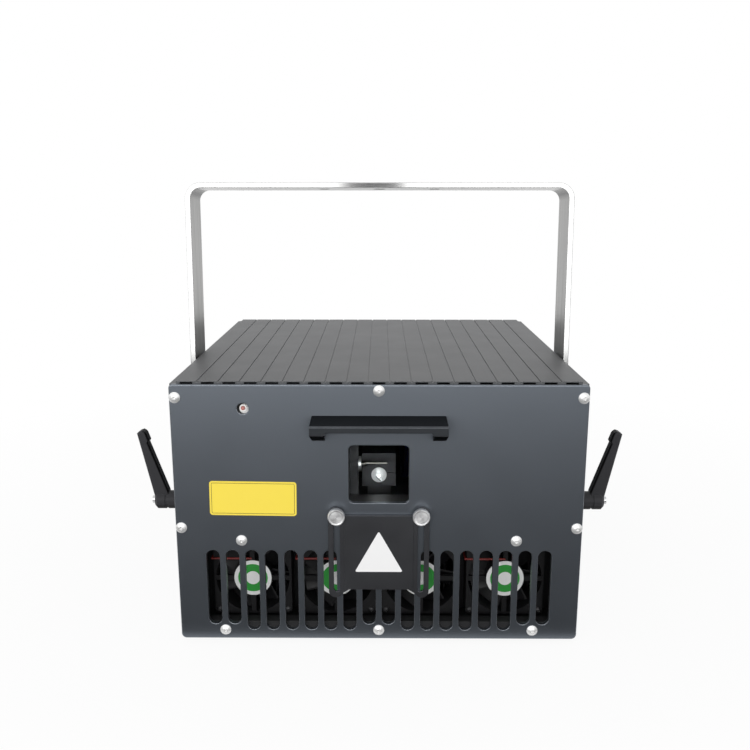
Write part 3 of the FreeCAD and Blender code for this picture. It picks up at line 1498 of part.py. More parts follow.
# Yoke: one flat bar bent to a square arch, drawn about its pivot and leaned back
def yoke():
    body = new_body("yoke")
    thickness = both("yoke_width / 2")
    end = "-yoke_width / 2"
    pad(body, "XZ_Plane", *thickness, [rectangle(both(YOKE_OUTER), (end, "yoke_rise"))])
    top, outer = number("yoke_rise"), number(YOKE_OUTER)
    at_top = lambda edge, middle: abs(middle.z - top) < CLOSE and abs(abs(middle.x) - outer) < CLOSE
    soften(body, "Fillet", "yoke_corner", at_top)
    gap = (f"{end} - 2 * yoke_corner", "yoke_rise - yoke_thick")
    inside = rounded(both(YOKE_INNER), gap, "yoke_corner - yoke_thick", "yoke_corner - yoke_thick")
    pocket(body, "XZ_Plane", *thickness, [inside])
    low, side = number(end), number("yoke_width / 2")
    at_end = lambda edge, middle: abs(middle.z - low) < CLOSE and abs(abs(middle.y) - side) < CLOSE
    soften(body, "Fillet", "yoke_width / 2 - yoke_end_relief", at_end)
    pocket(body, "YZ_Plane", *both(YOKE_OUTER), [circle("0", "0", "stud_radius + pivot_gap")])
    bolts = [circle("0", "0", "yoke_bolt_radius")]
    for sign in SIDES.values():
        bolts.append(circle(signed(sign, "yoke_side_bolt_side"), "0", "yoke_side_bolt_radius"))
    pocket(body, "XY_Plane", "yoke_rise - yoke_thick", "yoke_rise", bolts)
    body.Placement = Placement(Vector(), Rotation(Vector(1, 0, 0), -number("yoke_lean")))
    bind(body, "Placement.Rotation.Angle", "-yoke_lean")
    put(body, "0", deep("pivot_depth"), high("pivot_rise"))
    node("yoke", body)


def pivot_washers():
    rings = []
    for side, sign in SIDES.items():
        ends = span(sign, "case_width / 2", YOKE_INNER)
        disc = rod(f"{side}_washer_disc", "x", "washer_radius", PIVOT, *ends)
        past = span(sign, "case_width / 2 - overrun", f"{YOKE_INNER} + overrun")
        hole = rod(f"{side}_washer_hole", "x", "stud_radius + pivot_gap", PIVOT, *past)
        rings.append(cut(f"{side}_washer", disc, [hole]))
    node("pivot_washers", group("pivot_washers", rings))


def out(text):
    """Where a distance out from the yoke's outer face lies along X, on the right."""
    return f"({YOKE_OUTER} + {text})"


# Clamp stud: a thread in the side panel, a flange on the yoke, a core and a headed neck
def clamp_stud(side, sign):
    name = f"clamp_stud_{side}"
    steps = [
        ("thread", "stud_radius", f"{INNER} - stud_bury", YOKE_OUTER),
        ("flange", "stud_flange_radius", YOKE_OUTER, out("stud_flange")),
        ("core", "stud_core_radius", out("stud_flange"), out("stud_core_end")),
        ("neck", "stud_neck_radius", out("stud_core_end"), out("stud_head_start")),
        ("head", "stud_head_radius", out("stud_head_start"), out("stud_head_end")),
    ]
    bars = []
    for step, radius, start, end in steps:
        bars.append(rod(f"{name}_{step}", "x", radius, PIVOT, *span(sign, start, end)))
    node(name, join(name, bars))


WEB_START = "stud_core_end + lever_seat_gap"
WEB_END = f"{WEB_START} + lever_web"


# Clamp lever: a hub that slides on the stud's core, and an arm that rises outward to a thumb step
def clamp_lever(side, sign):
    name = f"clamp_lever_{side}"
    body = new_body(name)
    arm = [
        ("lever_hub_end - lever_hub_edge", "0"),
        ("lever_root_out", "lever_root_up"),
        ("lever_tip_out", "lever_tip_up"),
        ("lever_shoulder_out", "lever_shoulder_up"),
        ("lever_peak_out", "lever_peak_up"),
        ("lever_brow_out", "lever_brow_up"),
        ("lever_thumb_out", "lever_tip_up"),
        ("lever_step_out", "lever_step_up"),
        ("lever_notch_out", "lever_notch_up"),
        ("lever_heel_out", "lever_heel_up"),
        ("lever_heel_out", "0"),
    ]
    points = [(signed(sign, across), up) for across, up in arm]
    pad(body, "XZ_Plane", *both("lever_arm_thick / 2"), [outline(points)])
    side_face = number("lever_arm_thick / 2")
    hub_top = number("lever_hub_radius")
    rim = lambda edge, middle: abs(abs(middle.y) - side_face) < CLOSE and middle.z > hub_top
    soften(body, "Fillet", "lever_arm_round", rim)
    hub = [
        ("stud_flange", "0"),
        ("stud_flange", "lever_hub_radius"),
        ("lever_ring_start", "lever_hub_radius"),
        ("lever_ring_start", "lever_hub_radius - lever_ring_depth"),
        ("lever_ring_end", "lever_hub_radius - lever_ring_depth"),
        ("lever_ring_end", "lever_hub_radius"),
        ("lever_hub_end - lever_hub_edge", "lever_hub_radius"),
        ("lever_hub_end", "lever_hub_radius - lever_hub_edge"),
        ("lever_hub_end", "0"),
    ]
    turn(body, [(signed(sign, across), radius) for across, radius in hub])
    bores = [
        ("stud_core_radius + lever_slide_gap", "stud_flange", WEB_START),
        ("stud_neck_radius + lever_slide_gap", WEB_START, WEB_END),
        ("stud_head_radius + lever_head_gap", WEB_END, "lever_hub_end"),
    ]
    for radius, start, end in bores:
        pocket(body, "YZ_Plane", *span(sign, start, end), [circle("0", "0", radius)])
    put(body, signed(sign, YOKE_OUTER), *PIVOT)
    node(name, body)


def lever_spring(side, sign):
    """A coil round the stud's neck, between the lever's web and the stud's head."""
    name = f"lever_spring_{side}"
    body = new_body(name)
    coil = "(stud_head_radius - spring_wire_radius - spring_side_gap / 2)"
    rise = f"stud_head_start - ({WEB_END}) - 2 * spring_wire_radius - spring_side_gap"
    helix = body.newObject("PartDesign::AdditiveHelix", f"{name}_helix")
    helix.Profile = new_sketch(body, "XZ_Plane", "0", [circle("0", coil, "spring_wire_radius")])
    helix.ReferenceAxis = (helix.Profile[0], ["H_Axis"])
    helix.Mode = "height-turns-angle"
    bind(helix, "Height", rise)
    bind(helix, "Turns", "spring_turns")
    body.Placement = Placement(Vector(), Rotation(Vector(0, 0, 1), 0 if sign > 0 else 2 * QUARTER_TURN))
    foot = f"{WEB_END} + spring_wire_radius + spring_side_gap / 2"
    put(body, signed(sign, out(foot)), *PIVOT)
    doc.recompute()
    gap = number(f"({rise}) / spring_turns - 2 * spring_wire_radius")
    print(f"{name}: {gap:.2f} mm between turns, {body.Shape.Volume:.1f} mm3")
    node(name, body)


# Rear fittings, all on the outer face of the rear panel
REAR = "case_depth"
SOCKET_X = (
    "inlet_side - inlet_width / 2 + inlet_lip + socket_wall",
    "inlet_side - inlet_width / 2 + inlet_lip + socket_wall + socket_width",
)
SOCKET_MID = f"({SOCKET_X[0]} + {SOCKET_X[1]}) / 2"
ROCKER_X = "(inlet_side + inlet_width / 2 - inlet_lip - socket_wall - rocker_clear - rocker_width / 2)"
ROCKER_PIVOT = (deep(f"{REAR} + inlet_flange - rocker_sink"), high("inlet_rise"))


def mains_inlet():
    """One moulding holds the inlet socket and the well of the rocker switch."""
    x = around("inlet_side", "inlet_width")
    z = around(high("inlet_rise"), "inlet_height")
    flange = block("inlet_flange_plate", x, deep_span(REAR, f"{REAR} + inlet_flange"), z)
    body_x = around("inlet_side", "inlet_width - 2 * inlet_lip")
    body_z = around(high("inlet_rise"), "inlet_height - 2 * inlet_lip")
    case = block("inlet_case", body_x, deep_span(f"{REAR} - inlet_length", REAR), body_z)
    mouth = deep_span(f"{REAR} + inlet_flange - socket_depth", f"{REAR} + inlet_flange + overrun")
    socket = block("inlet_socket", SOCKET_X, mouth, around(high("inlet_rise"), "socket_height"))
    well_y = deep_span(f"{REAR} + inlet_flange - rocker_well_depth", f"{REAR} + inlet_flange + overrun")
    well_x = around(ROCKER_X, "rocker_width", "rocker_clear")
    well_z = around(high("inlet_rise"), "rocker_height", "rocker_clear")
    well = block("rocker_well", well_x, well_y, well_z)
    pivot = rod("rocker_pin_holes", "x", "rocker_pin_radius + rocker_pin_gap", ROCKER_PIVOT,
                *around(ROCKER_X, "rocker_width", "rocker_pin_reach + rocker_pin_gap"))
    hollow = cut("inlet_hollow", join("inlet_solid", [flange, case]), [socket, well])
    hollow = cut("inlet_pivoted", hollow, [pivot])
    pins = []
    floor = f"{REAR} + inlet_flange - socket_depth"
    for index in (-1, 0, 1):
        place = (f"{SOCKET_MID} + {index} * pin_pitch", high("inlet_rise"))
        pins.append(rod("inlet_pin", "y", "pin_radius", place,
                        deep(f"{floor} - pin_radius"), deep(f"{floor} + pin_length")))
    node("mains_inlet", join("mains_inlet", [hollow] + pins))


def mains_rocker():
    """The rocker is drawn about its pins and stored with its upper half pressed in."""
    body = new_body("mains_rocker")
    half, thick = "rocker_height / 2", "rocker_thick / 2"
    back = [(f"-{thick}", half), (f"-{thick}", f"-{half}")]
    section = back + [(thick, f"-{half}"), (f"{thick} - rocker_dip", "0"), (thick, half)]
    pad(body, "YZ_Plane", *both("rocker_width / 2"), [outline(section)])
    pin = circle("0", "0", "rocker_pin_radius")
    pad(body, "YZ_Plane", *both("rocker_width / 2 + rocker_pin_reach"), [pin])
    body.Placement = Placement(Vector(), Rotation(Vector(1, 0, 0), number("rocker_tilt")))
    bind(body, "Placement.Rotation.Angle", "rocker_tilt")
    put(body, ROCKER_X, *ROCKER_PIVOT)
    node("mains_rocker", body)


def key_lock():
    centre = ("lock_side", high("lock_rise"))
    barrel = rod("lock_barrel", "y", "lock_radius", centre, deep(f"{REAR} - lock_length"), deep(REAR))
    face = f"{REAR} + lock_flange"
    flange = rod("lock_flange_ring", "y", "lock_flange_radius", centre, deep(REAR), deep(face))
    bore_start = f"{face} - plug_length - plug_gap"
    bore = rod("lock_bore", "y", "plug_radius + plug_gap", centre,
               deep(bore_start), deep(f"{face} + overrun"))
    node("key_lock", cut("key_lock", join("lock_solid", [barrel, flange]), [bore]))
    plug = rod("key_plug", "y", "plug_radius", centre, deep(f"{face} - plug_length"), deep(face))
    blade_z = around(high("lock_rise"), "key_blade_width")
    bow_mid = f"{face} + key_blade_reach + key_bow_radius - key_blade_thick"
    blade_x = around("lock_side", "key_blade_thick")
    blade = block("key_blade", blade_x, deep_span(f"{face} - key_blade_reach", bow_mid), blade_z)
    bow = rod("key_bow", "x", "key_bow_radius", (deep(bow_mid), high("lock_rise")), *blade_x)
    eye_mid = deep(f"{bow_mid} + key_bow_radius / 2")
    past = around("lock_side", "key_blade_thick", "overrun")
    eye = rod("key_eye", "x", "key_bow_hole", (eye_mid, high("lock_rise")), *past)
    node("control_key", cut("control_key", join("key_solid", [plug, blade, bow]), [eye]))


def show_sockets():
    """Two flat sockets for the show-control signal, one above the other."""
    sockets = []
    for index in range(2):
        middle = high(show_rise(index))
        plate = block("show_plate", around(SHOW_X, "show_width"), deep_span(REAR, f"{REAR} + show_flange"),
                      around(middle, "show_height"))
        shell = block("show_shell", around(SHOW_X, "show_shell_width"),
                      deep_span(f"{REAR} - show_body_length", f"{REAR} + show_shell_reach"),
                      around(middle, "show_shell_height"))
        sockets.append(join("show_socket", [plate, shell]))
    node("show_sockets", group("show_sockets", sockets))


def light_sockets():
    """Two round sockets for the light-control signal, side by side."""
    sockets = []
    for index in range(2):
        centre = (light_side(index), high("lock_rise"))
        face = f"{REAR} + light_flange"
        plate = block("light_plate", around(centre[0], "light_flange_size"), deep_span(REAR, face),
                      around(centre[1], "light_flange_size"))
        shell = rod("light_shell", "y", "light_radius", centre, deep(f"{REAR} - light_length"), deep(REAR))
        floor = f"{face} - light_bore_depth"
        bore = rod("light_bore", "y", "light_bore_radius", centre, deep(floor), deep(f"{face} + overrun"))
        hollow = cut("light_hollow", join("light_solid", [plate, shell]), [bore])
        pins = []
        for turn in range(3):
            angle = f"({turn} * {FULL_TURN} / 3 + {QUARTER_TURN}) * 1 deg"
            x = f"{centre[0]} + light_pin_circle * cos({angle})"
            z = f"{centre[1]} + light_pin_circle * sin({angle})"
            pins.append(rod("light_pin", "y", "light_pin_radius", (x, z),
                            deep(f"{floor} - light_pin_radius"), deep(f"{floor} + light_pin_length")))
        sockets.append(join("light_socket", [hollow] + pins))
    node("light_sockets", group("light_sockets", sockets))


def safety_lug():
    """A flange on the rear panel with a tab, holed for a safety cable's shackle."""
    body = new_body("safety_lug")
    flange = rectangle(both("lug_flange_width / 2"), around(high("lug_rise"), "lug_flange_height"))
    pad(body, "XZ_Plane", *deep_span(REAR, f"{REAR} + lug_flange"), [flange])
    eye = deep(f"{REAR} + lug_reach - lug_end_radius")
    tab_z = around(high("lug_rise"), "2 * lug_end_radius")
    pad(body, "YZ_Plane", *both("lug_thick / 2"), [rectangle((deep(REAR), eye), tab_z)])
    pad(body, "YZ_Plane", *both("lug_thick / 2"), [circle(eye, high("lug_rise"), "lug_end_radius")])
    pocket(body, "YZ_Plane", *both("lug_thick / 2"), [circle(eye, high("lug_rise"), "lug_hole_radius")])
    node("safety_lug", body)


def screws():
    panel_screw = button_screw("panel_screw", "screw_head_radius", "screw_head_height", "screw_rim",
                               "screw_radius", "screw_length", "screw_socket_radius", "screw_socket_depth")
    front = [(x, deep("0"), high(rise)) for x, rise in PANEL_SCREW_PLACES]
    rear = [(x, deep(REAR), high(rise)) for x, rise in PANEL_SCREW_PLACES]
    links = fasten("panel_screws", panel_screw, "front", front)
    links += fasten("panel_screws", panel_screw, "rear", rear)
    node("panel_screws", group("panel_screws", links))
    sunk = sunk_screw("sunk_screw")
    links = []
    for side, sign in SIDES.items():
        places = [(f"{sign} * case_width / 2", deep(depth), high(rise)) for depth, rise in sunk_places()]
        links += fasten("side_panel_screws", sunk, side, places)
    node("side_panel_screws", group("side_panel_screws", links))
    small_socket = ("small_socket_radius", "small_socket_depth")
    visor_screw = button_screw("visor_screw", "visor_screw_head_radius", "visor_screw_head_height",
                               "small_rim", "visor_screw_radius", "visor_screw_length", *small_socket)
    visor_seat = (deep("front_thick"), high("visor_screw_rise"))
    places = [(signed(sign, VISOR_LEG_MID), *visor_seat) for sign in SIDES.values()]
    node("visor_screws", group("visor_screws", fasten("visor_screws", visor_screw, "rear", places)))
    fan_screw = button_screw("fan_screw", "fan_screw_head_radius", "fan_screw_head_height", "small_rim",
                             "fan_screw_radius", "fan_screw_length", *small_socket)
    places = []
    for index in range(FAN_COUNT):
        places += [(x, deep("fan_depth"), high(rise)) for x, rise in fan_corners(index)]
    node("fan_screws", group("fan_screws", fasten("fan_screws", fan_screw, "front", places)))


def build():
    base_plate()
    feet()
    front_panel()
    rear_panel()
    top_cover()
    visor()
    tunnel_and_glass()
    indicator()
    shutter_plate()
    for index in range(FAN_COUNT):
        fan_frame(index)
        fan_impeller(index)
    fan_bulkhead()
    fan_leads()
    heat_sink()
    optical_plate()
    for index, colour in enumerate(COLOURS):
        laser_module(colour, index)
    beam_mirrors()
    galvo_mount()
    galvo_motors()
    scan_mirrors()
    power_supply()
    boards()
    yoke()
    pivot_washers()
    for side, sign in SIDES.items():
        side_panel(side, sign)
        thumb_screw(side, sign)
        clamp_stud(side, sign)
        clamp_lever(side, sign)
        lever_spring(side, sign)
    mains_inlet()
    mains_rocker()
    key_lock()
    show_sockets()
    light_sockets()
    safety_lug()
    screws()


def check_and_write():
    """Stop on anything that failed, then write one file for each sub-part."""
    doc.recompute()
    for item in doc.Objects:
        if "Invalid" in item.State or "Error" in item.State:
            raise RuntimeError(f"{item.Label} failed: {item.State}")
    for label, item in NODES.items():
        if item.Shape.isNull() or not item.Shape.isValid():
            raise RuntimeError(f"{label} has no valid shape")
    os.makedirs("parts", exist_ok=True)
    for label, item in NODES.items():
        item.Shape.exportStep(f"parts/{label}.step")
    print(f"{len(NODES)} sub-parts written")


build()
check_and_write()
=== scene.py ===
# %% [markdown]
# A laser show projector
#
# The CAD model holds every piece of the projector at its real size and place. This lesson loads it
# as a fixed frame, gives each surface its finish, models the small pieces that only the eye needs,
# and sets a plain studio around it. Each step starts with a note on what is made and why this way.

# %% Load the frame
import math
import bmesh
import bpy
from mathutils import Matrix, Vector


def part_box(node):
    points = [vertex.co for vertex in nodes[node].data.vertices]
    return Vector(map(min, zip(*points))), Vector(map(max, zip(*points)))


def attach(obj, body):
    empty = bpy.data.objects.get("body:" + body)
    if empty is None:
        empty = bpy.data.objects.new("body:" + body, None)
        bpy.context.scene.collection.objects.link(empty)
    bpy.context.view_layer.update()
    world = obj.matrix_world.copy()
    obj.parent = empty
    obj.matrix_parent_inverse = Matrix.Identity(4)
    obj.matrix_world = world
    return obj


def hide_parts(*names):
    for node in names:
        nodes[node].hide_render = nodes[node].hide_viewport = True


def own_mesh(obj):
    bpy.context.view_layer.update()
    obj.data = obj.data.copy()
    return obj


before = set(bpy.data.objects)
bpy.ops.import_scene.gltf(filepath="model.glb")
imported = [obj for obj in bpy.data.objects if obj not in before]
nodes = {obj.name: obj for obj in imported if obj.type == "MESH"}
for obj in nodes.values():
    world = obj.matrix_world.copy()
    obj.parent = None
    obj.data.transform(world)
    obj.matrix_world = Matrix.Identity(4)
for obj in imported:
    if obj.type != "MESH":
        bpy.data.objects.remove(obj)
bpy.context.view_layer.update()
MM = 0.001

# %% [markdown]
# The camera stands where the photographer stood: three quarters of a metre in front of the case, as
# high as the top of the yoke, looking down by about twelve degrees. A focal length can be guessed by
# eye, but here it was found from how fast the ribs of the top cover draw together, and is written in
# pixels of the square picture.

# %% Camera
PICTURE_PIXELS = 750
FOCAL_PIXELS = 818.1
SENSOR_WIDTH = 36.0
CAMERA_PLACE = Vector((0.0015, -0.9507, 0.4477))
CAMERA_DIP = math.radians(12.5)
CAMERA_TURN = math.radians(0.4)


def make_camera():
    data = bpy.data.cameras.new("photo_camera")
    data.sensor_width = SENSOR_WIDTH
    data.lens = SENSOR_WIDTH * FOCAL_PIXELS / PICTURE_PIXELS
    camera = bpy.data.objects.new("photo_camera", data)
    camera.location = CAMERA_PLACE
    camera.rotation_euler = (math.pi / 2 - CAMERA_DIP, 0, CAMERA_TURN)
    bpy.context.scene.collection.objects.link(camera)
    bpy.context.scene.camera = camera
    return camera


print("lens", round(make_camera().data.lens, 2), "mm")

# %% [markdown]
# Finishes are built from nodes. Adding a node by hand takes several lines each time, so one helper
# adds a node, sets its options, and fills its inputs with either a plain value or another node's
# output. Two more mix colours and stretch a value to a new range, which nearly every finish needs. The
# Mix node has a set of sockets for each kind of value, so its colour sockets are found by number.

# %% Node helpers
COLOUR_SOCKETS = (0, 6, 7)
COLOUR_RESULT = 2
UNIT = (0.0, 1.0)


def add(tree, kind, inputs=None, **options):
    """A new node with its options set and its inputs filled by values or linked to outputs."""
    node = tree.nodes.new(kind)
    for name, value in options.items():
        setattr(node, name, value)
    for name, value in (inputs or {}).items():
        if isinstance(value, bpy.types.NodeSocket):
            tree.links.new(value, node.inputs[name])
        else:
            node.inputs[name].default_value = value
    return node


def mix(tree, share, first, second):
    """A colour that goes from the first to the second as the share goes from 0 to 1."""
    inputs = dict(zip(COLOUR_SOCKETS, (share, first, second)))
    return add(tree, "ShaderNodeMix", inputs, data_type="RGBA").outputs[COLOUR_RESULT]


def stretch(tree, value, old, new=UNIT):
    """A value moved from an old range to a new one, held at the ends."""
    inputs = {"Value": value, "From Min": old[0], "From Max": old[1]}
    inputs.update({"To Min": new[0], "To Max": new[1]})
    return add(tree, "ShaderNodeMapRange", inputs).outputs["Result"]


def paint(colour):
    """A colour with full alpha, as the sockets want it."""
    return (*colour, 1.0)


print("node helpers ready")

# %% [markdown]
# The rest of the helpers do sums on values and vectors, tell where a point lies on its object and which
# way its face looks, and start a node group. A group wraps a few nodes under one name, with sockets of
# its own, so that many finishes can share them.

# %% Sums, places and groups
def calc(tree, operation, *values):
    """One step of arithmetic on plain values or outputs."""
    return add(tree, "ShaderNodeMath", dict(enumerate(values)), operation=operation).outputs[0]


def calc_vector(tree, operation, *values):
    """One step of arithmetic on vectors. Only a length and a dot product give a plain value."""
    node = add(tree, "ShaderNodeVectorMath", dict(enumerate(values)), operation=operation)
    return node.outputs["Value" if operation in ("LENGTH", "DOT_PRODUCT") else "Vector"]


def coordinates(tree, kind="Object"):
    """A point's place on its object in metres, or its normal."""
    return add(tree, "ShaderNodeTexCoord").outputs[kind]


def part_of(tree, vector, axis):
    """The part of a vector along X, Y or Z."""
    return add(tree, "ShaderNodeSeparateXYZ", {0: vector}).outputs[axis]


def new_group(name, inputs, outputs):
    """An empty shader node group with named sockets, and its two end nodes."""
    group = bpy.data.node_groups.new(name, "ShaderNodeTree")
    for label, kind, value in inputs:
        socket = group.interface.new_socket(label, in_out="INPUT", socket_type=kind)
        socket.default_value = value
    for label, kind in outputs:
        group.interface.new_socket(label, in_out="OUTPUT", socket_type=kind)
    return group, group.nodes.new("NodeGroupInput"), group.nodes.new("NodeGroupOutput")


print("sums, places and groups ready")

# %% [markdown]
# No real surface has one flat colour. Two layers of noise give every finish its life: a fine grain,
# such as the tooth that bead blasting leaves on aluminium, and a soft mottle many times larger. Both
# read Object coordinates, which are metres here, so sizes in the group are real sizes.

# %% Grain group
FLOAT = "NodeSocketFloat"
VECTOR = "NodeSocketVector"
GRAIN_SIZE = 0.4 * MM
MOTTLE_SIZE = 40 * MM
NOISE_DETAIL = {"Grain": 2.0, "Mottle": 4.0}


def make_grain_group():
    inputs = [("Grain Size", FLOAT, GRAIN_SIZE), ("Mottle Size", FLOAT, MOTTLE_SIZE)]
    group, entry, end = new_group("grain", inputs, [("Grain", FLOAT), ("Mottle", FLOAT)])
    place = coordinates(group)
    for label, detail in NOISE_DETAIL.items():
        scale = calc(group, "DIVIDE", 1.0, entry.outputs[f"{label} Size"])
        noise = add(group, "ShaderNodeTexNoise", {"Vector": place, "Scale": scale, "Detail": detail})
        group.links.new(noise.outputs["Fac"], end.inputs[label])
    return group


GRAIN = make_grain_group()
print("group", GRAIN.name)

# %% [markdown]
# Edges of a coated part catch light and lose a little of their coat. The Bevel node looks round each
# point for a nearby corner and returns a rounded normal there, so where that normal leaves the true
# one lies an edge. The rounded normal is put out as well, so that a sharp edge catches a thin line of
# light. This needs no extra geometry and works on the loose triangles of a CAD mesh, where the usual
# pointiness trick fails.

# %% Edge group
BEVEL_SAMPLES = 6
EDGE_REACH = 0.8 * MM
BREAKUP_SIZE = 6 * MM
BREAKUP_DETAIL = 3.0
BREAKUP_NOISE = (0.3, 0.6)
BREAKUP_SHARE = (0.35, 1.0)
CORNER_LIKENESS = (0.99, 0.85)


def make_edge_group():
    inputs = [("Reach", FLOAT, EDGE_REACH), ("Breakup Size", FLOAT, BREAKUP_SIZE)]
    group, entry, end = new_group("edge", inputs, [("Mask", FLOAT), ("Normal", VECTOR)])
    inputs = {"Radius": entry.outputs["Reach"]}
    rounded = add(group, "ShaderNodeBevel", inputs, samples=BEVEL_SAMPLES).outputs["Normal"]
    true = add(group, "ShaderNodeNewGeometry").outputs["Normal"]
    corner = stretch(group, calc_vector(group, "DOT_PRODUCT", rounded, true), CORNER_LIKENESS)
    scale = calc(group, "DIVIDE", 1.0, entry.outputs["Breakup Size"])
    inputs = {"Vector": coordinates(group), "Scale": scale, "Detail": BREAKUP_DETAIL}
    noise = add(group, "ShaderNodeTexNoise", inputs)
    breakup = stretch(group, noise.outputs["Fac"], BREAKUP_NOISE, BREAKUP_SHARE)
    group.links.new(calc(group, "MULTIPLY", corner, breakup), end.inputs["Mask"])
    group.links.new(rounded, end.inputs["Normal"])
    return group


EDGE = make_edge_group()
print("group", EDGE.name)

# %% [markdown]
# Brushed metal is covered in fine scratches that all run one way. Noise that is squeezed across the
# scratches and drawn out along them looks the same, and the group's Frequency input says how many
# lines to the metre lie along each axis: many across, few along.

# %% Brush group
BRUSH_FREQUENCY = (900.0, 900.0, 8.0)
BRUSH_DETAIL = 3.0


def make_brush_group():
    inputs = [("Frequency", VECTOR, BRUSH_FREQUENCY)]
    group, entry, end = new_group("brush", inputs, [("Lines", FLOAT)])
    drawn = calc_vector(group, "MULTIPLY", coordinates(group), entry.outputs["Frequency"])
    inputs = {"Vector": drawn, "Scale": 1.0, "Detail": BRUSH_DETAIL}
    group.links.new(add(group, "ShaderNodeTexNoise", inputs).outputs["Fac"], end.inputs["Lines"])
    return group


BRUSH = make_brush_group()
print("group", BRUSH.name)

# %% [markdown]
# A finish starts from a new material and places the groups in it, with their sizes in millimetres. A
# bump tilts the light as fine relief would. Sheltered faces can take a darker colour, painted shade,
# so two masks tell which faces look down and which look to the middle of the case.

# %% Finish helpers
LOOKS_AWAY = (-0.2, -0.6)


def new_material(name):
    material = bpy.data.materials.new(name)
    material.use_nodes = True
    return material, material.node_tree, material.node_tree.nodes["Principled BSDF"]


def place_grain(tree, grain_mm, mottle_mm):
    inputs = {"Grain Size": grain_mm * MM, "Mottle Size": mottle_mm * MM}
    return add(tree, "ShaderNodeGroup", inputs, node_tree=GRAIN).outputs


def place_edge(tree, reach_mm, breakup_mm=BREAKUP_SIZE / MM):
    inputs = {"Reach": reach_mm * MM, "Breakup Size": breakup_mm * MM}
    return add(tree, "ShaderNodeGroup", inputs, node_tree=EDGE).outputs


def bump(tree, shader, height, depth_mm, normal=None):
    inputs = {"Height": height, "Distance": depth_mm * MM, "Strength": 1.0}
    if normal:
        inputs["Normal"] = normal
    tree.links.new(add(tree, "ShaderNodeBump", inputs).outputs["Normal"], shader.inputs["Normal"])


def looks_down(tree):
    """One on faces that look down."""
    return stretch(tree, part_of(tree, coordinates(tree, "Normal"), "Z"), LOOKS_AWAY)


def looks_inward(tree):
    """One on faces of a left or right piece that look to the middle of the case."""
    side = calc(tree, "SIGN", part_of(tree, coordinates(tree), "X"))
    outward = calc(tree, "MULTIPLY", part_of(tree, coordinates(tree, "Normal"), "X"), side)
    return stretch(tree, outward, LOOKS_AWAY)


def finish_nodes(material, *names):
    """Gives CAD nodes a finish through their objects' own material slots."""
    for name in names:
        for place in nodes[name].material_slots:
            place.material = material
    print(material.name, "on", ", ".join(names))


print("finish helpers ready")

# %% [markdown]
# Most of the projector is coated metal or moulded plastic, and these differ only in colour, gloss,
# grain and wear. One function makes them all: the mottle drifts between two close colours and shifts
# the roughness, the grain raises a slight bump, and the edge mask shows what lies under the coat.

# %% Coating recipe
MOTTLE_SPAN = (0.3, 0.7)


def coating(name, light, dark, rough, metallic=0.0, worn=None, edge_mm=0.6, grain_mm=0.5,
            depth_mm=0.003, mottle_mm=45.0, drift=0.05, painted_shade_below=None, painted_shade_inward=None, gleam=0.5,
            glance=(1.0, 1.0, 1.0)):
    """A coated or moulded surface, with what shows through at its edges where it has worn.

    Two optional colours are painted shade: one painted on the faces that look down, and one on those
    that look to the middle of the case. Gleam is how strongly a plastic mirrors its surroundings, and
    glance tints what a face mirrors when it is seen from the side.
    """
    material, tree, shader = new_material(name)
    shader.inputs["Specular Tint"].default_value = paint(glance)
    shader.inputs["Specular IOR Level"].default_value = gleam
    grain = place_grain(tree, grain_mm, mottle_mm)
    colour = mix(tree, grain["Mottle"], paint(light), paint(dark))
    # Painted shade: faces that look down, and faces that look to the middle of the case, take darker
    # colours.
    if painted_shade_below:
        colour = mix(tree, looks_down(tree), colour, paint(painted_shade_below))
    if painted_shade_inward:
        colour = mix(tree, looks_inward(tree), colour, paint(painted_shade_inward))
    normal = None
    if worn:
        edge = place_edge(tree, edge_mm)
        colour = mix(tree, edge["Mask"], colour, paint(worn))
        normal = edge["Normal"]
    tree.links.new(colour, shader.inputs["Base Color"])
    gloss = stretch(tree, grain["Mottle"], MOTTLE_SPAN, (rough - drift, rough + drift))
    tree.links.new(gloss, shader.inputs["Roughness"])
    shader.inputs["Metallic"].default_value = metallic
    bump(tree, shader, grain["Grain"], depth_mm, normal)
    return material


print("coating recipe ready")

# %% [markdown]
# The case is aluminium plate, blasted and anodised slate grey. The dye sits in a clear oxide over
# bare metal, so the surface reflects like a metal with a dark colour, broad and soft. The cover, the
# hood and the shutter took more dye and are darker, and the base is a black tray.

# %% Case panels, top cover, hood and shutter
PANELS = ("front_panel", "rear_panel", "left_side_panel", "right_side_panel")
slate = coating("slate_anodised", (0.156, 0.174, 0.198), (0.149, 0.166, 0.189), 0.40, metallic=0.95,
                worn=(0.33, 0.35, 0.38), edge_mm=1.0, drift=0.012)
cover_slate = coating("cover_anodised", (0.100, 0.102, 0.106), (0.092, 0.094, 0.098), 0.46,
                      metallic=0.85, worn=(0.20, 0.205, 0.21), edge_mm=0.4, drift=0.015)
# Painted shade: the hood's faces that look down take a near-black colour.
hood_slate = coating("hood_anodised", (0.060, 0.065, 0.072), (0.052, 0.057, 0.063), 0.36,
                     metallic=0.9, worn=(0.24, 0.25, 0.27), edge_mm=0.6, painted_shade_below=(0.012, 0.012, 0.013),
                     glance=(0.15, 0.15, 0.16))
shutter_slate = coating("shutter_anodised", (0.088, 0.090, 0.098), (0.078, 0.080, 0.087), 0.40,
                        metallic=0.85, worn=(0.16, 0.165, 0.18), edge_mm=0.5)
tray_black = coating("tray_black", (0.007, 0.007, 0.008), (0.005, 0.005, 0.006), 0.70,
                     worn=(0.020, 0.020, 0.022), edge_mm=0.5)
finish_nodes(slate, *PANELS)
finish_nodes(cover_slate, "top_cover")
finish_nodes(hood_slate, "visor")
finish_nodes(shutter_slate, "shutter_plate")
finish_nodes(tray_black, "base_plate")
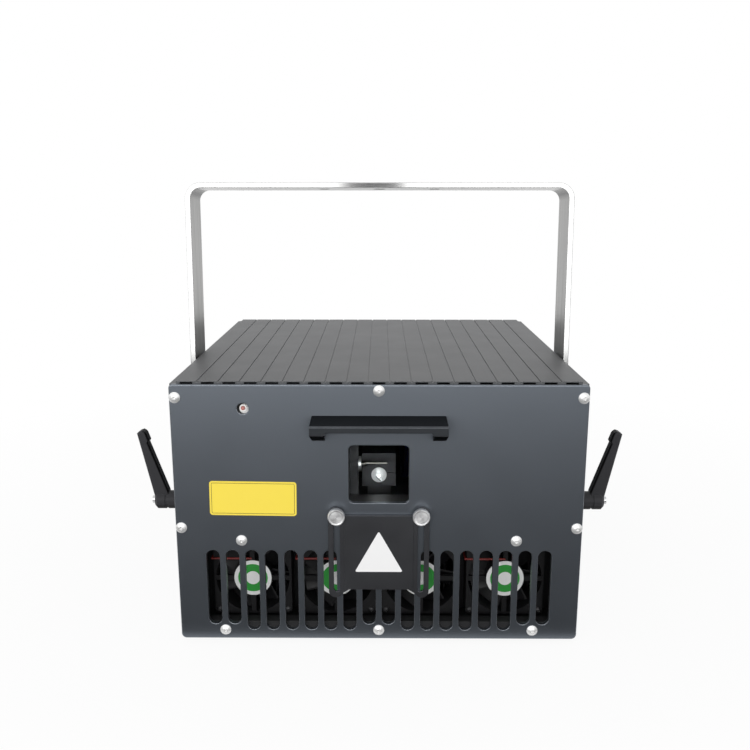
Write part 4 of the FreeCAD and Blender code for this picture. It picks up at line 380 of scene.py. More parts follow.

# %% [markdown]
# The yoke is one flat aluminium bar, brushed along its length and left bright. The scratches follow
# the bar: up the two arms and across the top, so two sets of lines are mixed where the bar bends. Its
# narrow edges were cut with a mill and shine more than the brushed faces. The corners get a darker
# line, the inside of the bends is painted darker as a painted reflection of the dark cover, and the
# faces that look straight down get a lighter colour. A face's normal tells which is which: the edges
# look to the front and the rear, the bends look down at a slant and the underside looks straight down.

# %% Yoke
YOKE_BEND = (24 * MM, 8 * MM)
YOKE_FACE = (0.39, 0.39, 0.385)
YOKE_FACE_DULL = (0.33, 0.33, 0.325)
YOKE_SCRATCH = (0.22, 0.22, 0.215)
YOKE_EDGE = (0.40, 0.40, 0.397)
YOKE_CORNER = (0.20, 0.20, 0.198)
# Painted reflection: the colour for the inside of the bends, as if they mirrored the dark cover.
YOKE_BEND_SHADE = (0.13, 0.13, 0.132)
YOKE_UNDER = (0.66, 0.66, 0.655)
YOKE_ROUGHNESS = (0.30, 0.42)
YOKE_EDGE_ROUGHNESS = 0.11
YOKE_GRAIN_SIZES = (0.5, 70.0)
YOKE_CORNER_SIZES = (1.1, 80.0)
BRUSHED_UP = (600.0, 600.0, 5.0)
BRUSHED_ACROSS = (5.0, 600.0, 600.0)
SCRATCH_DEPTH = 0.002
SCRATCH_SPAN = (0.35, 0.7)
SCRATCH_SHARE = (0.0, 0.6)
LOOKS_SIDEWAYS = (0.7, 0.95)
SLANT_STARTS = (-0.05, -0.5)
SLANT_ENDS = (-0.98, -0.6)
LOOKS_STRAIGHT_DOWN = (-0.9, -0.99)


def brush_lines(tree):
    """Scratches that run up the arms and across the top of the yoke."""
    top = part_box("yoke")[1].z
    height = part_of(tree, coordinates(tree), "Z")
    across = stretch(tree, height, (top - YOKE_BEND[0], top - YOKE_BEND[1]))
    sets = []
    for frequency in (BRUSHED_UP, BRUSHED_ACROSS):
        brush = add(tree, "ShaderNodeGroup", {"Frequency": frequency}, node_tree=BRUSH)
        sets.append(brush.outputs["Lines"])
    return stretch(tree, across, UNIT, sets)


def make_yoke_metal():
    material, tree, shader = new_material("yoke_brushed")
    lines = brush_lines(tree)
    normal = coordinates(tree, "Normal")
    milled = stretch(tree, calc(tree, "ABSOLUTE", part_of(tree, normal, "Y")), LOOKS_SIDEWAYS)
    rise = part_of(tree, normal, "Z")
    slants = [stretch(tree, rise, span) for span in (SLANT_STARTS, SLANT_ENDS)]
    grain = place_grain(tree, *YOKE_GRAIN_SIZES)
    edge = place_edge(tree, *YOKE_CORNER_SIZES)
    colour = mix(tree, grain["Mottle"], paint(YOKE_FACE), paint(YOKE_FACE_DULL))
    scratches = stretch(tree, lines, SCRATCH_SPAN, SCRATCH_SHARE)
    colour = mix(tree, scratches, colour, paint(YOKE_SCRATCH))
    # Painted reflection: the inside of the bends is painted darker, as if it mirrored the dark cover.
    colour = mix(tree, calc(tree, "MULTIPLY", *slants), colour, paint(YOKE_BEND_SHADE))
    colour = mix(tree, stretch(tree, rise, LOOKS_STRAIGHT_DOWN), colour, paint(YOKE_UNDER))
    colour = mix(tree, milled, colour, paint(YOKE_EDGE))
    colour = mix(tree, edge["Mask"], colour, paint(YOKE_CORNER))
    tree.links.new(colour, shader.inputs["Base Color"])
    brushed = stretch(tree, lines, MOTTLE_SPAN, YOKE_ROUGHNESS)
    gloss = stretch(tree, milled, UNIT, (brushed, YOKE_EDGE_ROUGHNESS))
    tree.links.new(gloss, shader.inputs["Roughness"])
    shader.inputs["Metallic"].default_value = 1.0
    bump(tree, shader, lines, SCRATCH_DEPTH, edge["Normal"])
    return material


finish_nodes(make_yoke_metal(), "yoke")

# %% [markdown]
# Screws and small metal. Zinc plating is bright with a soft haze, black oxide is nearly matt, and a
# screw's edges show bare steel where a key has been in it. The lock and the round sockets are chromed.

# %% Screws and small metal
SIDES = ("left", "right")
zinc = coating("zinc_plate", (0.80, 0.80, 0.79), (0.74, 0.74, 0.74), 0.44, metallic=0.65,
               worn=(0.84, 0.84, 0.84), edge_mm=0.3, mottle_mm=8.0)
stud_steel = coating("stud_steel", (0.66, 0.66, 0.66), (0.58, 0.58, 0.585), 0.34, metallic=0.9,
                     worn=(0.84, 0.84, 0.84), edge_mm=0.3, mottle_mm=8.0)
black_oxide = coating("black_oxide", (0.035, 0.035, 0.037), (0.026, 0.026, 0.028), 0.42, metallic=0.6,
                      worn=(0.20, 0.20, 0.20), edge_mm=0.25, mottle_mm=6.0)
lock_chrome = coating("lock_chrome", (0.62, 0.62, 0.63), (0.54, 0.54, 0.55), 0.22, metallic=1.0,
                      worn=(0.80, 0.80, 0.80), edge_mm=0.3, mottle_mm=10.0)
finish_nodes(zinc, "panel_screws", "board_standoffs", "control_key")
finish_nodes(stud_steel, *[f"clamp_stud_{side}" for side in SIDES])
finish_nodes(black_oxide, "side_panel_screws", "visor_screws", "fan_screws", "safety_lug")
finish_nodes(lock_chrome, "key_lock", "light_sockets")

# %% [markdown]
# Plastics and rubber: the clamp levers are glass-filled nylon with a fine tooth, the fans and the
# mains inlet smooth black mouldings, the feet plain rubber. The levers are painted darker below and
# on the side that looks to the case, as painted shade where little light comes.

# %% Plastics and rubber
FAN_COUNT = 4
FANS = range(1, FAN_COUNT + 1)
# Painted shade: the levers' faces that look down or to the case take near-black colours.
lever_nylon = coating("lever_nylon", (0.040, 0.040, 0.043), (0.032, 0.032, 0.035), 0.46,
                      worn=(0.065, 0.065, 0.067), edge_mm=0.8, grain_mm=0.7, depth_mm=0.02,
                      painted_shade_below=(0.004, 0.004, 0.004), painted_shade_inward=(0.001, 0.001, 0.001), gleam=0.1)
fan_black = coating("fan_moulding", (0.009, 0.009, 0.010), (0.006, 0.006, 0.007), 0.44, grain_mm=0.8,
                    depth_mm=0.01)
inlet_black = coating("inlet_moulding", (0.020, 0.020, 0.021), (0.014, 0.014, 0.015), 0.32,
                      worn=(0.06, 0.06, 0.06), edge_mm=0.4)
foot_rubber = coating("foot_rubber", (0.028, 0.028, 0.028), (0.020, 0.020, 0.020), 0.78, grain_mm=1.0,
                      depth_mm=0.05)
washer_nylon = coating("washer_nylon", (0.045, 0.045, 0.047), (0.034, 0.034, 0.036), 0.5)
lead_red = coating("lead_red", (0.20, 0.020, 0.016), (0.15, 0.014, 0.012), 0.42, mottle_mm=12.0)
finish_nodes(lever_nylon, *[f"clamp_lever_{side}" for side in SIDES])
finish_nodes(fan_black, *[f"fan_{kind}_{index}" for kind in ("frame", "impeller") for index in FANS])
finish_nodes(inlet_black, "mains_inlet", "mains_rocker")
finish_nodes(foot_rubber, "feet")
finish_nodes(washer_nylon, "pivot_washers")
finish_nodes(lead_red, "fan_leads")

# %% [markdown]
# Inside the case everything near the beam is black, so that stray light dies there. The lasers, the
# supply and the boards have plain finishes that show when the covers are off.

# %% Inner pieces
inner_black = coating("inner_black", (0.018, 0.018, 0.020), (0.013, 0.013, 0.014), 0.45, metallic=0.5,
                      worn=(0.07, 0.07, 0.075), edge_mm=0.5)
tunnel_black = coating("tunnel_black", (0.072, 0.071, 0.073), (0.060, 0.059, 0.061), 0.42, metallic=0.6,
                       worn=(0.10, 0.10, 0.11), edge_mm=0.5)
scanner_block = coating("scanner_block", (0.085, 0.085, 0.089), (0.070, 0.070, 0.073), 0.42,
                        metallic=0.7, worn=(0.18, 0.18, 0.19), edge_mm=0.4)
motor_steel = coating("motor_steel", (0.90, 0.90, 0.89), (0.82, 0.82, 0.82), 0.40, metallic=0.9,
                      worn=(0.82, 0.82, 0.82), edge_mm=0.3, mottle_mm=8.0)
supply_sheet = coating("supply_sheet", (0.50, 0.51, 0.52), (0.42, 0.43, 0.44), 0.38, metallic=0.9,
                       mottle_mm=20.0)
board_green = coating("board_lacquer", (0.012, 0.110, 0.045), (0.008, 0.082, 0.034), 0.30,
                      mottle_mm=9.0)
LASER_DYES = {"red": (0.13, 0.014, 0.012), "green": (0.014, 0.10, 0.030), "blue": (0.012, 0.026, 0.12)}
DYE_DRIFT = 0.8
finish_nodes(inner_black, "fan_bulkhead", "heat_sink", "optical_plate", "mirror_mounts")
finish_nodes(tunnel_black, "aperture_tunnel")
finish_nodes(scanner_block, "galvo_mount")
finish_nodes(motor_steel, "galvo_motor_x", "galvo_motor_y")
finish_nodes(supply_sheet, "power_supply")
finish_nodes(board_green, "control_board", "driver_board")
for dye, colour in LASER_DYES.items():
    darker = tuple(part * DYE_DRIFT for part in colour)
    dyed = coating(f"{dye}_anodised", colour, darker, 0.36, metallic=0.8)
    finish_nodes(dyed, f"{dye}_laser_module")

# %% [markdown]
# The window is a thin coated pane, so it lets nearly everything through and shows a faint sheen. The
# mirrors are silvered on the front, with a grey ground rim; the first scan mirror, seen nearly
# edge-on, is given a darker colour.

# %% Glass and mirrors
GLASS_CLEAR = (0.96, 0.98, 0.98)
GLASS_TINTED = (0.92, 0.95, 0.96)
GLASS_GRAIN_SIZES = (1.5, 30.0)
GLASS_HAZE = (0.01, 0.05)
HAZE_SPAN = (0.35, 0.7)
GLASS_INDEX = 1.12


def make_window_glass():
    material, tree, shader = new_material("window_glass")
    grain = place_grain(tree, *GLASS_GRAIN_SIZES)
    haze = stretch(tree, grain["Mottle"], HAZE_SPAN, GLASS_HAZE)
    tree.links.new(haze, shader.inputs["Roughness"])
    tint = mix(tree, grain["Mottle"], paint(GLASS_CLEAR), paint(GLASS_TINTED))
    tree.links.new(tint, shader.inputs["Base Color"])
    shader.inputs["Transmission Weight"].default_value = 1.0
    shader.inputs["IOR"].default_value = GLASS_INDEX
    return material


silver = coating("front_silver", (0.90, 0.91, 0.92), (0.86, 0.87, 0.88), 0.05, metallic=1.0,
                 worn=(0.16, 0.16, 0.155), edge_mm=0.6, depth_mm=0.0002, mottle_mm=12.0, drift=0.02)
scan_silver = coating("scan_silver", (0.30, 0.29, 0.265), (0.26, 0.25, 0.23), 0.16, metallic=1.0,
                      worn=(0.16, 0.16, 0.155), edge_mm=0.4, depth_mm=0.0002, mottle_mm=6.0, drift=0.02)
finish_nodes(make_window_glass(), "aperture_glass")
finish_nodes(silver, "beam_mirrors", "scan_mirror_y")
finish_nodes(scan_silver, "scan_mirror_x")

# %% [markdown]
# The indicator is a dull red dome in a white collar. The collar sits a little low and to the right in
# its hole, so the space round it lies in shade and shows as a dark crescent. That crescent is painted
# shade on the collar, drawn by the distance from an axis that is shifted the same way: near it lies
# the white, further out the painted shade.

# %% Indicator
INDICATOR_RED = (0.44, 0.17, 0.145)
INDICATOR_DARK = (0.40, 0.14, 0.12)
INDICATOR_GRAIN_SIZES = (0.6, 3.0)
INDICATOR_GLOW = 0.05
INDICATOR_ROUGHNESS = 0.12
COLLAR_SHIFT = 0.11
COLLAR_SHARE = 0.62
COLLAR_BORDER = 0.95
COLLAR_WHITE = (0.84, 0.83, 0.81)
COLLAR_SOILED = (0.78, 0.77, 0.75)
COLLAR_GAP_SHADE = (0.003, 0.003, 0.003)
COLLAR_GRAIN_SIZES = (0.5, 4.0)
COLLAR_ROUGHNESS = 0.5
UPRIGHT_PLANE = (1.0, 0.0, 1.0)


def make_indicator():
    material, tree, shader = new_material("indicator_red")
    grain = place_grain(tree, *INDICATOR_GRAIN_SIZES)
    colour = mix(tree, grain["Mottle"], paint(INDICATOR_RED), paint(INDICATOR_DARK))
    tree.links.new(colour, shader.inputs["Base Color"])
    tree.links.new(colour, shader.inputs["Emission Color"])
    shader.inputs["Emission Strength"].default_value = INDICATOR_GLOW
    shader.inputs["Roughness"].default_value = INDICATOR_ROUGHNESS
    return material


def off_axis(tree, place, axis):
    """The way to a point from an axis that runs from front to rear, square to that axis."""
    return calc_vector(tree, "MULTIPLY", calc_vector(tree, "SUBTRACT", place, axis), UPRIGHT_PLANE)


def make_collar():
    material, tree, shader = new_material("collar_white")
    low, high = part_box("led_holder")
    middle = (low + high) / 2
    radius = (high.x - low.x) / 2
    shift = COLLAR_SHIFT * radius
    axis = (middle.x + shift, 0.0, middle.z - shift)
    far = calc_vector(tree, "LENGTH", off_axis(tree, coordinates(tree), axis))
    reach = COLLAR_SHARE * radius
    # Painted shade: further from the shifted axis the collar is painted near black, the dark crescent
    # of its shaded hole.
    gap_shade = stretch(tree, far, (COLLAR_BORDER * reach, reach))
    grain = place_grain(tree, *COLLAR_GRAIN_SIZES)
    white = mix(tree, grain["Mottle"], paint(COLLAR_WHITE), paint(COLLAR_SOILED))
    tree.links.new(mix(tree, gap_shade, white, paint(COLLAR_GAP_SHADE)), shader.inputs["Base Color"])
    shader.inputs["Roughness"].default_value = COLLAR_ROUGHNESS
    return material


finish_nodes(make_indicator(), "emission_led")
finish_nodes(make_collar(), "led_holder")

# %% [markdown]
# The small pieces are built with bmesh, Blender's mesh toolkit: a flat shape is made, its corners are
# rounded, and faces are pushed out or in. A few helpers cover this. The last one turns the mesh into
# an object, parented to an empty that stands for a body of the CAD model.

# %% Piece helpers
CORNER_STEPS = 6
ROUND_PROFILE = 0.5
SHARP_ANGLE = math.radians(35)
UPRIGHT = Matrix.Rotation(math.pi / 2, 4, "X")


def push(shape, faces, reach_mm):
    """Extrudes faces towards the rear, or the front for a negative reach, and returns the ends.

    A lone sheet keeps its first face as a base. A face among others leaves none behind.
    """
    joined = [face for face in faces if any(len(edge.link_faces) > 1 for edge in face.edges)]
    made = bmesh.ops.extrude_face_region(shape, geom=faces)["geom"]
    moved = [item for item in made if isinstance(item, bmesh.types.BMVert)]
    bmesh.ops.translate(shape, vec=(0, reach_mm * MM, 0), verts=moved)
    bmesh.ops.delete(shape, geom=joined, context="FACES_ONLY")
    return [item for item in made if isinstance(item, bmesh.types.BMFace)]


def rim(shape, faces, width_mm):
    """Insets faces and returns the rim round them."""
    width = width_mm * MM
    return bmesh.ops.inset_region(shape, faces=faces, thickness=width, use_even_offset=True)["faces"]


def round_corners(shape, radius_mm):
    """Rounds the corners of a flat shape."""
    bmesh.ops.bevel(shape, geom=shape.verts[:], offset=radius_mm * MM, offset_type="OFFSET",
                    segments=CORNER_STEPS, profile=ROUND_PROFILE, affect="VERTICES", material=-1)


def rounded_block(size, corner_mm, reach_mm, taper=1.0):
    """An upright rounded plate round the origin and its end faces. Taper narrows the lower side."""
    shape = bmesh.new()
    bmesh.ops.create_grid(shape, x_segments=1, y_segments=1, size=MM / 2, matrix=UPRIGHT)
    bmesh.ops.scale(shape, vec=(size[0], 1, size[1]), verts=shape.verts)
    lower = [vert for vert in shape.verts if vert.co.z < 0]
    bmesh.ops.scale(shape, vec=(taper, 1, 1), verts=lower)
    round_corners(shape, corner_mm)
    return shape, push(shape, shape.faces[:], reach_mm)


def pour(shape, part, place):
    """Moves a finished bmesh to its place and adds it to another."""
    bmesh.ops.translate(part, vec=place, verts=part.verts)
    mesh = bpy.data.meshes.new("pour")
    part.to_mesh(mesh)
    part.free()
    shape.from_mesh(mesh)
    bpy.data.meshes.remove(mesh)


def finish_piece(shape, name, materials, body):
    """Turns a bmesh into an object that rides on a body and takes its finish from a slot."""
    bmesh.ops.recalc_face_normals(shape, faces=shape.faces)
    open_edges = sum(len(edge.link_faces) != 2 for edge in shape.edges)
    mesh = bpy.data.meshes.new(name)
    shape.to_mesh(mesh)
    shape.free()
    for material in materials:
        mesh.materials.append(material)
    mesh.polygons.foreach_set("use_smooth", [True] * len(mesh.polygons))
    mesh.set_sharp_from_angle(angle=SHARP_ANGLE)
    piece = bpy.data.objects.new(name, mesh)
    bpy.context.scene.collection.objects.link(piece)
    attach(piece, body)
    print(name, "has", len(mesh.polygons), "faces and", open_edges, "open edges")
    return piece


print("piece helpers ready")

# %% [markdown]
# The thumb screws are turned on a lathe, and the dished face keeps the tool's rings, drawn here as
# ripples of the distance from the axis. Such a face shines in two opposite wings, here a painted
# sheen: a lighter colour that follows the angle round the axis. Both screws lie equally far from the
# middle, so one material serves the two.

# %% Turned metal
RING_PITCH = 0.5 * MM
RING_DEPTH = 0.012
SHEEN_WING_ANGLE = math.radians(35)
SHEEN_WING_SHARE = (0.0, 0.8)
SPOT_SHINE = (-0.3, 0.4)
THUMB_BRIGHT = (0.84, 0.84, 0.84)
THUMB_DIM = (0.52, 0.52, 0.525)
THUMB_ROUGHNESS = (0.42, 0.52)
THUMB_METALLIC = 0.8
THUMB_GRAIN_SIZES = (0.3, 4.0)
THUMB_EDGE = 0.3


def make_turned_metal():
    material, tree, shader = new_material("thumb_turned")
    low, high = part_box("thumb_screw_right")
    axis = ((low.x + high.x) / 2, 0.0, (low.z + high.z) / 2)
    way = off_axis(tree, calc_vector(tree, "ABSOLUTE", coordinates(tree)), axis)
    turns = calc(tree, "MULTIPLY", calc_vector(tree, "LENGTH", way), 2 * math.pi / RING_PITCH)
    rings = calc(tree, "SINE", turns)
    angle = calc(tree, "ARCTAN2", part_of(tree, way, "Z"), part_of(tree, way, "X"))
    # Painted sheen: the colour is lighter in two wings round the axis, with mottle spots added.
    sheen_wings = calc(tree, "COSINE", calc(tree, "MULTIPLY_ADD", angle, 2.0, -2 * SHEEN_WING_ANGLE))
    grain = place_grain(tree, *THUMB_GRAIN_SIZES)
    inputs = {0: stretch(tree, sheen_wings, (-1.0, 1.0), SHEEN_WING_SHARE),
              1: stretch(tree, grain["Mottle"], MOTTLE_SPAN, SPOT_SHINE)}
    sheen_and_mottle = add(tree, "ShaderNodeMath", inputs, operation="ADD", use_clamp=True).outputs[0]
    colour = mix(tree, sheen_and_mottle, paint(THUMB_DIM), paint(THUMB_BRIGHT))
    tree.links.new(colour, shader.inputs["Base Color"])
    gloss = stretch(tree, grain["Mottle"], MOTTLE_SPAN, THUMB_ROUGHNESS)
    tree.links.new(gloss, shader.inputs["Roughness"])
    shader.inputs["Metallic"].default_value = THUMB_METALLIC
    bump(tree, shader, rings, RING_DEPTH, place_edge(tree, THUMB_EDGE)["Normal"])
    return material


turned_metal = make_turned_metal()
print("finish", turned_metal.name)

# %% [markdown]
# Turning on a lathe and spinning a profile round an axis are the same job, so each thumb screw starts
# as half of its section. The knurl comes after: every second column of points on the rim moves in a
# little, which leaves fine teeth for a grip.

# %% Thumb screws
THUMB_STEPS = 96
THUMB_HEAD = 5.4
THUMB_DISH = [(0.0, 0.6), (6.2, 0.6), (6.6, 0.2), (6.9, 0.0)]
THUMB_FRONT_CHAMFER = 0.9
THUMB_BACK_CHAMFER = 0.6
THUMB_COLLAR = 1.5
THUMB_COLLAR_RADIUS = 5.0
THUMB_SHANK_RADIUS = 2.9
THUMB_TIP_RADIUS = 2.4
THUMB_TIP_LENGTH = 0.5
KNURL_DEPTH = 0.35
KNURL_BAND = 0.1
WELD_DISTANCE = 0.01 * MM


def thumb_profile(radius, length):
    """Points of the half section, as radius and depth behind the face, in millimetres."""
    neck = THUMB_HEAD + THUMB_COLLAR
    front = [(radius - THUMB_FRONT_CHAMFER, 0.0), (radius, THUMB_FRONT_CHAMFER)]
    back = [(radius, THUMB_HEAD - THUMB_BACK_CHAMFER), (radius - THUMB_BACK_CHAMFER, THUMB_HEAD)]
    collar = [(THUMB_COLLAR_RADIUS, THUMB_HEAD), (THUMB_COLLAR_RADIUS, neck)]
    shank = [(THUMB_SHANK_RADIUS, neck), (THUMB_SHANK_RADIUS, length - THUMB_TIP_LENGTH)]
    tip = [(THUMB_TIP_RADIUS, length), (0.0, length)]
    return THUMB_DISH + front + back + collar + shank + tip


def make_thumb_screw(side, material):
    node = f"thumb_screw_{side}"
    low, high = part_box(node)
    radius = (high.x - low.x) / 2
    shape = bmesh.new()
    profile = thumb_profile(radius / MM, (high.y - low.y) / MM)
    points = [shape.verts.new((out * MM, depth * MM, 0)) for out, depth in profile]
    lines = [shape.edges.new(pair) for pair in zip(points, points[1:])]
    bmesh.ops.spin(shape, geom=points + lines, cent=(0, 0, 0), axis=(0, 1, 0), dvec=(0, 0, 0),
                   angle=2 * math.pi, steps=THUMB_STEPS, use_merge=True, use_duplicate=False)
    bmesh.ops.remove_doubles(shape, verts=shape.verts, dist=WELD_DISTANCE)
    step = 2 * math.pi / THUMB_STEPS
    inside = radius - KNURL_BAND * MM
    outer = [vert for vert in shape.verts if math.hypot(vert.co.x, vert.co.z) > inside]
    valleys = [vert for vert in outer if round(math.atan2(vert.co.z, vert.co.x) / step) % 2]
    share = 1 - KNURL_DEPTH * MM / radius
    bmesh.ops.scale(shape, vec=(share, 1, share), verts=valleys)
    face_centre = ((low.x + high.x) / 2, low.y, (low.z + high.z) / 2)
    bmesh.ops.translate(shape, vec=face_centre, verts=shape.verts)
    screw = finish_piece(shape, f"knurled_screw_{side}", [material], node)
    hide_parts(node)


for side in SIDES:
    make_thumb_screw(side, turned_metal)

# %% [markdown]
# A coil spring inside each clamp lever presses the lever onto its splines. Spinning a small circle
# round an axis while it moves along that axis draws the coil. When the lever is lifted the real spring
# grows shorter.

# %% Lever springs
SPRING_WIRE = 0.5
SPRING_WIRE_POINTS = 12
SPRING_TURNS = 5
SPRING_STEPS = 24


def make_lever_spring(side):
    node = f"lever_spring_{side}"
    low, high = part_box(node)
    near, far = sorted((low.x, high.x), key=abs)
    outward = math.copysign(1.0, far)
    wire = SPRING_WIRE * MM
    steps = SPRING_TURNS * SPRING_STEPS
    advance = (far - near - 2 * outward * wire) / steps
    shape = bmesh.new()
    bmesh.ops.create_circle(shape, cap_ends=True, segments=SPRING_WIRE_POINTS, radius=wire,
                            matrix=UPRIGHT)
    bmesh.ops.translate(shape, vec=(0, 0, (high.z - low.z) / 2 - wire), verts=shape.verts)
    circle = shape.verts[:] + shape.edges[:] + shape.faces[:]
    bmesh.ops.spin(shape, geom=circle, cent=(0, 0, 0), axis=(outward, 0, 0), dvec=(advance, 0, 0),
                   angle=2 * math.pi * SPRING_TURNS, steps=steps, use_merge=False, use_duplicate=False)
    foot = (near + outward * wire, (low.y + high.y) / 2, (low.z + high.z) / 2)
    bmesh.ops.translate(shape, vec=foot, verts=shape.verts)
    stud = f"clamp_stud_{side}"
    spring = finish_piece(shape, f"coil_spring_{side}", [stud_steel], stud)
    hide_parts(node)
    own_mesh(spring)


for side in SIDES:
    make_lever_spring(side)

# %% [markdown]
# A plain yellow sticker sits on the front panel, left of the window, and was put on by hand a little
# askew. It is a rectangle with rounded corners, raised by its own thickness. Two insets leave a
# narrow ring of faces for the printed line, which takes the second material.

# %% Front sticker
STICKER_SIZE = (85.0, 35.1)
STICKER_CENTRE = (-122.9, 156.9)
STICKER_TILT = math.radians(0.7)
STICKER_CORNER = 3.0
STICKER_THICK = 0.15
LINE_INSET = 1.8
LINE_WIDTH = 0.45
front_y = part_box("front_panel")[0].y
sticker_yellow = coating("sticker_yellow", (0.80, 0.63, 0.062), (0.77, 0.60, 0.057), 0.38,
                         mottle_mm=30.0)
print_ink = coating("print_ink", (0.030, 0.028, 0.020), (0.024, 0.022, 0.016), 0.45)


def make_sticker():
    shape, face = rounded_block(STICKER_SIZE, STICKER_CORNER, -STICKER_THICK)
    rim(shape, face, LINE_INSET)
    for strip in rim(shape, face, LINE_WIDTH):
        strip.material_index = 1
    tilt = Matrix.Rotation(STICKER_TILT, 3, "Y")
    bmesh.ops.rotate(shape, cent=(0, 0, 0), matrix=tilt, verts=shape.verts)
    centre = (STICKER_CENTRE[0] * MM, front_y, STICKER_CENTRE[1] * MM)
    bmesh.ops.translate(shape, vec=centre, verts=shape.verts)
    finish_piece(shape, "front_sticker", [sticker_yellow, print_ink], "case")


make_sticker()

# %% [markdown]
# The shutter carries a white triangle that points the way it slides. A circle with three points is a
# triangle, one and a half times as high as its radius, so the mark starts as one and gets rounded
# corners and the thickness of a printed film.

# %% Shutter mark
MARK_BASE = 47.5
MARK_LOW = 82.0
MARK_HIGH = 125.0
MARK_CORNER = 2.2
MARK_THICK = 0.12
TRIANGLE_POINTS = 3
TRIANGLE_HEIGHT = 1.5
TRIANGLE_BASE = math.sqrt(3)
shutter_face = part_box("shutter_plate")[0].y
mark_white = coating("mark_white", (0.76, 0.76, 0.76), (0.72, 0.72, 0.72), 0.45, mottle_mm=20.0)


def make_mark():
    shape = bmesh.new()
    radius = (MARK_HIGH - MARK_LOW) / TRIANGLE_HEIGHT
    bmesh.ops.create_circle(shape, cap_ends=True, segments=TRIANGLE_POINTS, radius=radius * MM,
                            matrix=UPRIGHT)
    bmesh.ops.scale(shape, vec=(MARK_BASE / (TRIANGLE_BASE * radius), 1, 1), verts=shape.verts)
    round_corners(shape, MARK_CORNER)
    push(shape, shape.faces[:], -MARK_THICK)
    centre = (0, shutter_face, (MARK_LOW + radius / 2) * MM)
    bmesh.ops.translate(shape, vec=centre, verts=shape.verts)
    finish_piece(shape, "shutter_mark", [mark_white], "shutter")


make_mark()

# %% [markdown]
# Each fan has a paper disc on its fixed hub, white with one green ring. It starts as a filled circle;
# two insets part the ring from the middle, and the ring's faces take the green.

# %% Fan discs
DISC_RADIUS = 19.3
DISC_POINTS = 64
DISC_THICK = 0.15
RING_INSET = 4.0
RING_WIDTH = 8.0
disc_white = coating("disc_white", (0.84, 0.85, 0.84), (0.78, 0.79, 0.78), 0.45, mottle_mm=15.0)
disc_green = coating("disc_green", (0.026, 0.34, 0.045), (0.022, 0.29, 0.038), 0.45, mottle_mm=15.0)


def make_fan_disc(index):
    low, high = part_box(f"fan_frame_{index}")
    shape = bmesh.new()
    bmesh.ops.create_circle(shape, cap_ends=True, segments=DISC_POINTS, radius=DISC_RADIUS * MM,
                            matrix=UPRIGHT)
    face = push(shape, shape.faces[:], -DISC_THICK)
    rim(shape, face, RING_INSET)
    for strip in rim(shape, face, RING_WIDTH):
        strip.material_index = 1
    centre = ((low.x + high.x) / 2, low.y, (low.z + high.z) / 2)
    bmesh.ops.translate(shape, vec=centre, verts=shape.verts)
    finish_piece(shape, f"fan_disc_{index}", [disc_white, disc_green], "case")


for index in FANS:
    make_fan_disc(index)

# %% [markdown]
# The two show-control sockets on the rear follow a common pattern: a flange, a shell shaped like a
# flat letter D so that a plug goes in one way only, a black insert with two rows of contacts, and a
# hexagon nut on each side for the plug's screws. The shell is a tapered block that is hollowed by an
# inset and a push inwards; the contacts are slim cones, and the nuts six-sided ones with a bore.

# %% Show sockets
FLANGE_SIZE = (53.0, 12.5)
FLANGE_THICK = 1.2
FLANGE_CORNER = 1.5
SHELL_SIZE = (39.0, 8.5)
SHELL_CORNER = 2.3
SHELL_TAPER = 0.92
SHELL_REACH = 5.5
SHELL_WALL = 0.7
SHELL_DEPTH = 3.6
CONTACT_ROWS = ((13, 1.42), (12, -1.42))
CONTACT_PITCH = 2.76
CONTACT_RADII = (0.55, 0.35)
CONTACT_LENGTH = 3.2
CONTACT_POINTS = 10
NUT_SIDE = 23.5
NUT_RADIUS = 2.9
NUT_REACH = 4.6
NUT_WALL = 1.3
NUT_FLOOR = 0.5
NUT_POINTS = 6
insert_black = coating("insert_black", (0.014, 0.014, 0.015), (0.010, 0.010, 0.011), 0.5)
contact_gold = coating("contact_gold", (0.72, 0.50, 0.20), (0.66, 0.45, 0.17), 0.28, metallic=1.0)


def slim_cone(points, radii, reach_mm):
    """An upright cone from the origin towards the rear, and its far end face."""
    shape = bmesh.new()
    place = Matrix.Translation((0, reach_mm * MM / 2, 0)) @ Matrix.Rotation(-math.pi / 2, 4, "X")
    bmesh.ops.create_cone(shape, cap_ends=True, segments=points, radius1=radii[0] * MM,
                          radius2=radii[1] * MM, depth=reach_mm * MM, matrix=place)
    return shape, [max(shape.faces, key=lambda face: face.calc_center_median().y)]


def make_socket(shape, centre):
    flange, _ = rounded_block(FLANGE_SIZE, FLANGE_CORNER, FLANGE_THICK)
    pour(shape, flange, centre)
    shell, end = rounded_block(SHELL_SIZE, SHELL_CORNER, SHELL_REACH, SHELL_TAPER)
    rim(shell, end, SHELL_WALL)
    for face in push(shell, end, -SHELL_DEPTH):
        face.material_index = 1
    pour(shape, shell, centre)
    for count, height in CONTACT_ROWS:
        for index in range(count):
            side = (index - (count - 1) / 2) * CONTACT_PITCH
            pin, _ = slim_cone(CONTACT_POINTS, CONTACT_RADII, CONTACT_LENGTH)
            for face in pin.faces:
                face.material_index = 2
            inside = Vector((side, SHELL_REACH - SHELL_DEPTH, height)) * MM
            pour(shape, pin, centre + inside)
    for side in (-NUT_SIDE, NUT_SIDE):
        nut, end = slim_cone(NUT_POINTS, (NUT_RADIUS, NUT_RADIUS), NUT_REACH)
        rim(nut, end, NUT_WALL)
        push(nut, end, NUT_FLOOR - NUT_REACH)
        pour(shape, nut, centre + Vector((side * MM, 0, 0)))


def make_show_sockets():
    shape = bmesh.new()
    low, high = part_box("show_sockets")
    rear_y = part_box("rear_panel")[1].y
    half = FLANGE_SIZE[1] / 2 * MM
    for height in (low.z + half, high.z - half):
        make_socket(shape, Vector(((low.x + high.x) / 2, rear_y, height)))
    materials = [lock_chrome, insert_black, contact_gold]
    pair = finish_piece(shape, "show_socket_pair", materials, "case")
    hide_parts("show_sockets")


make_show_sockets()

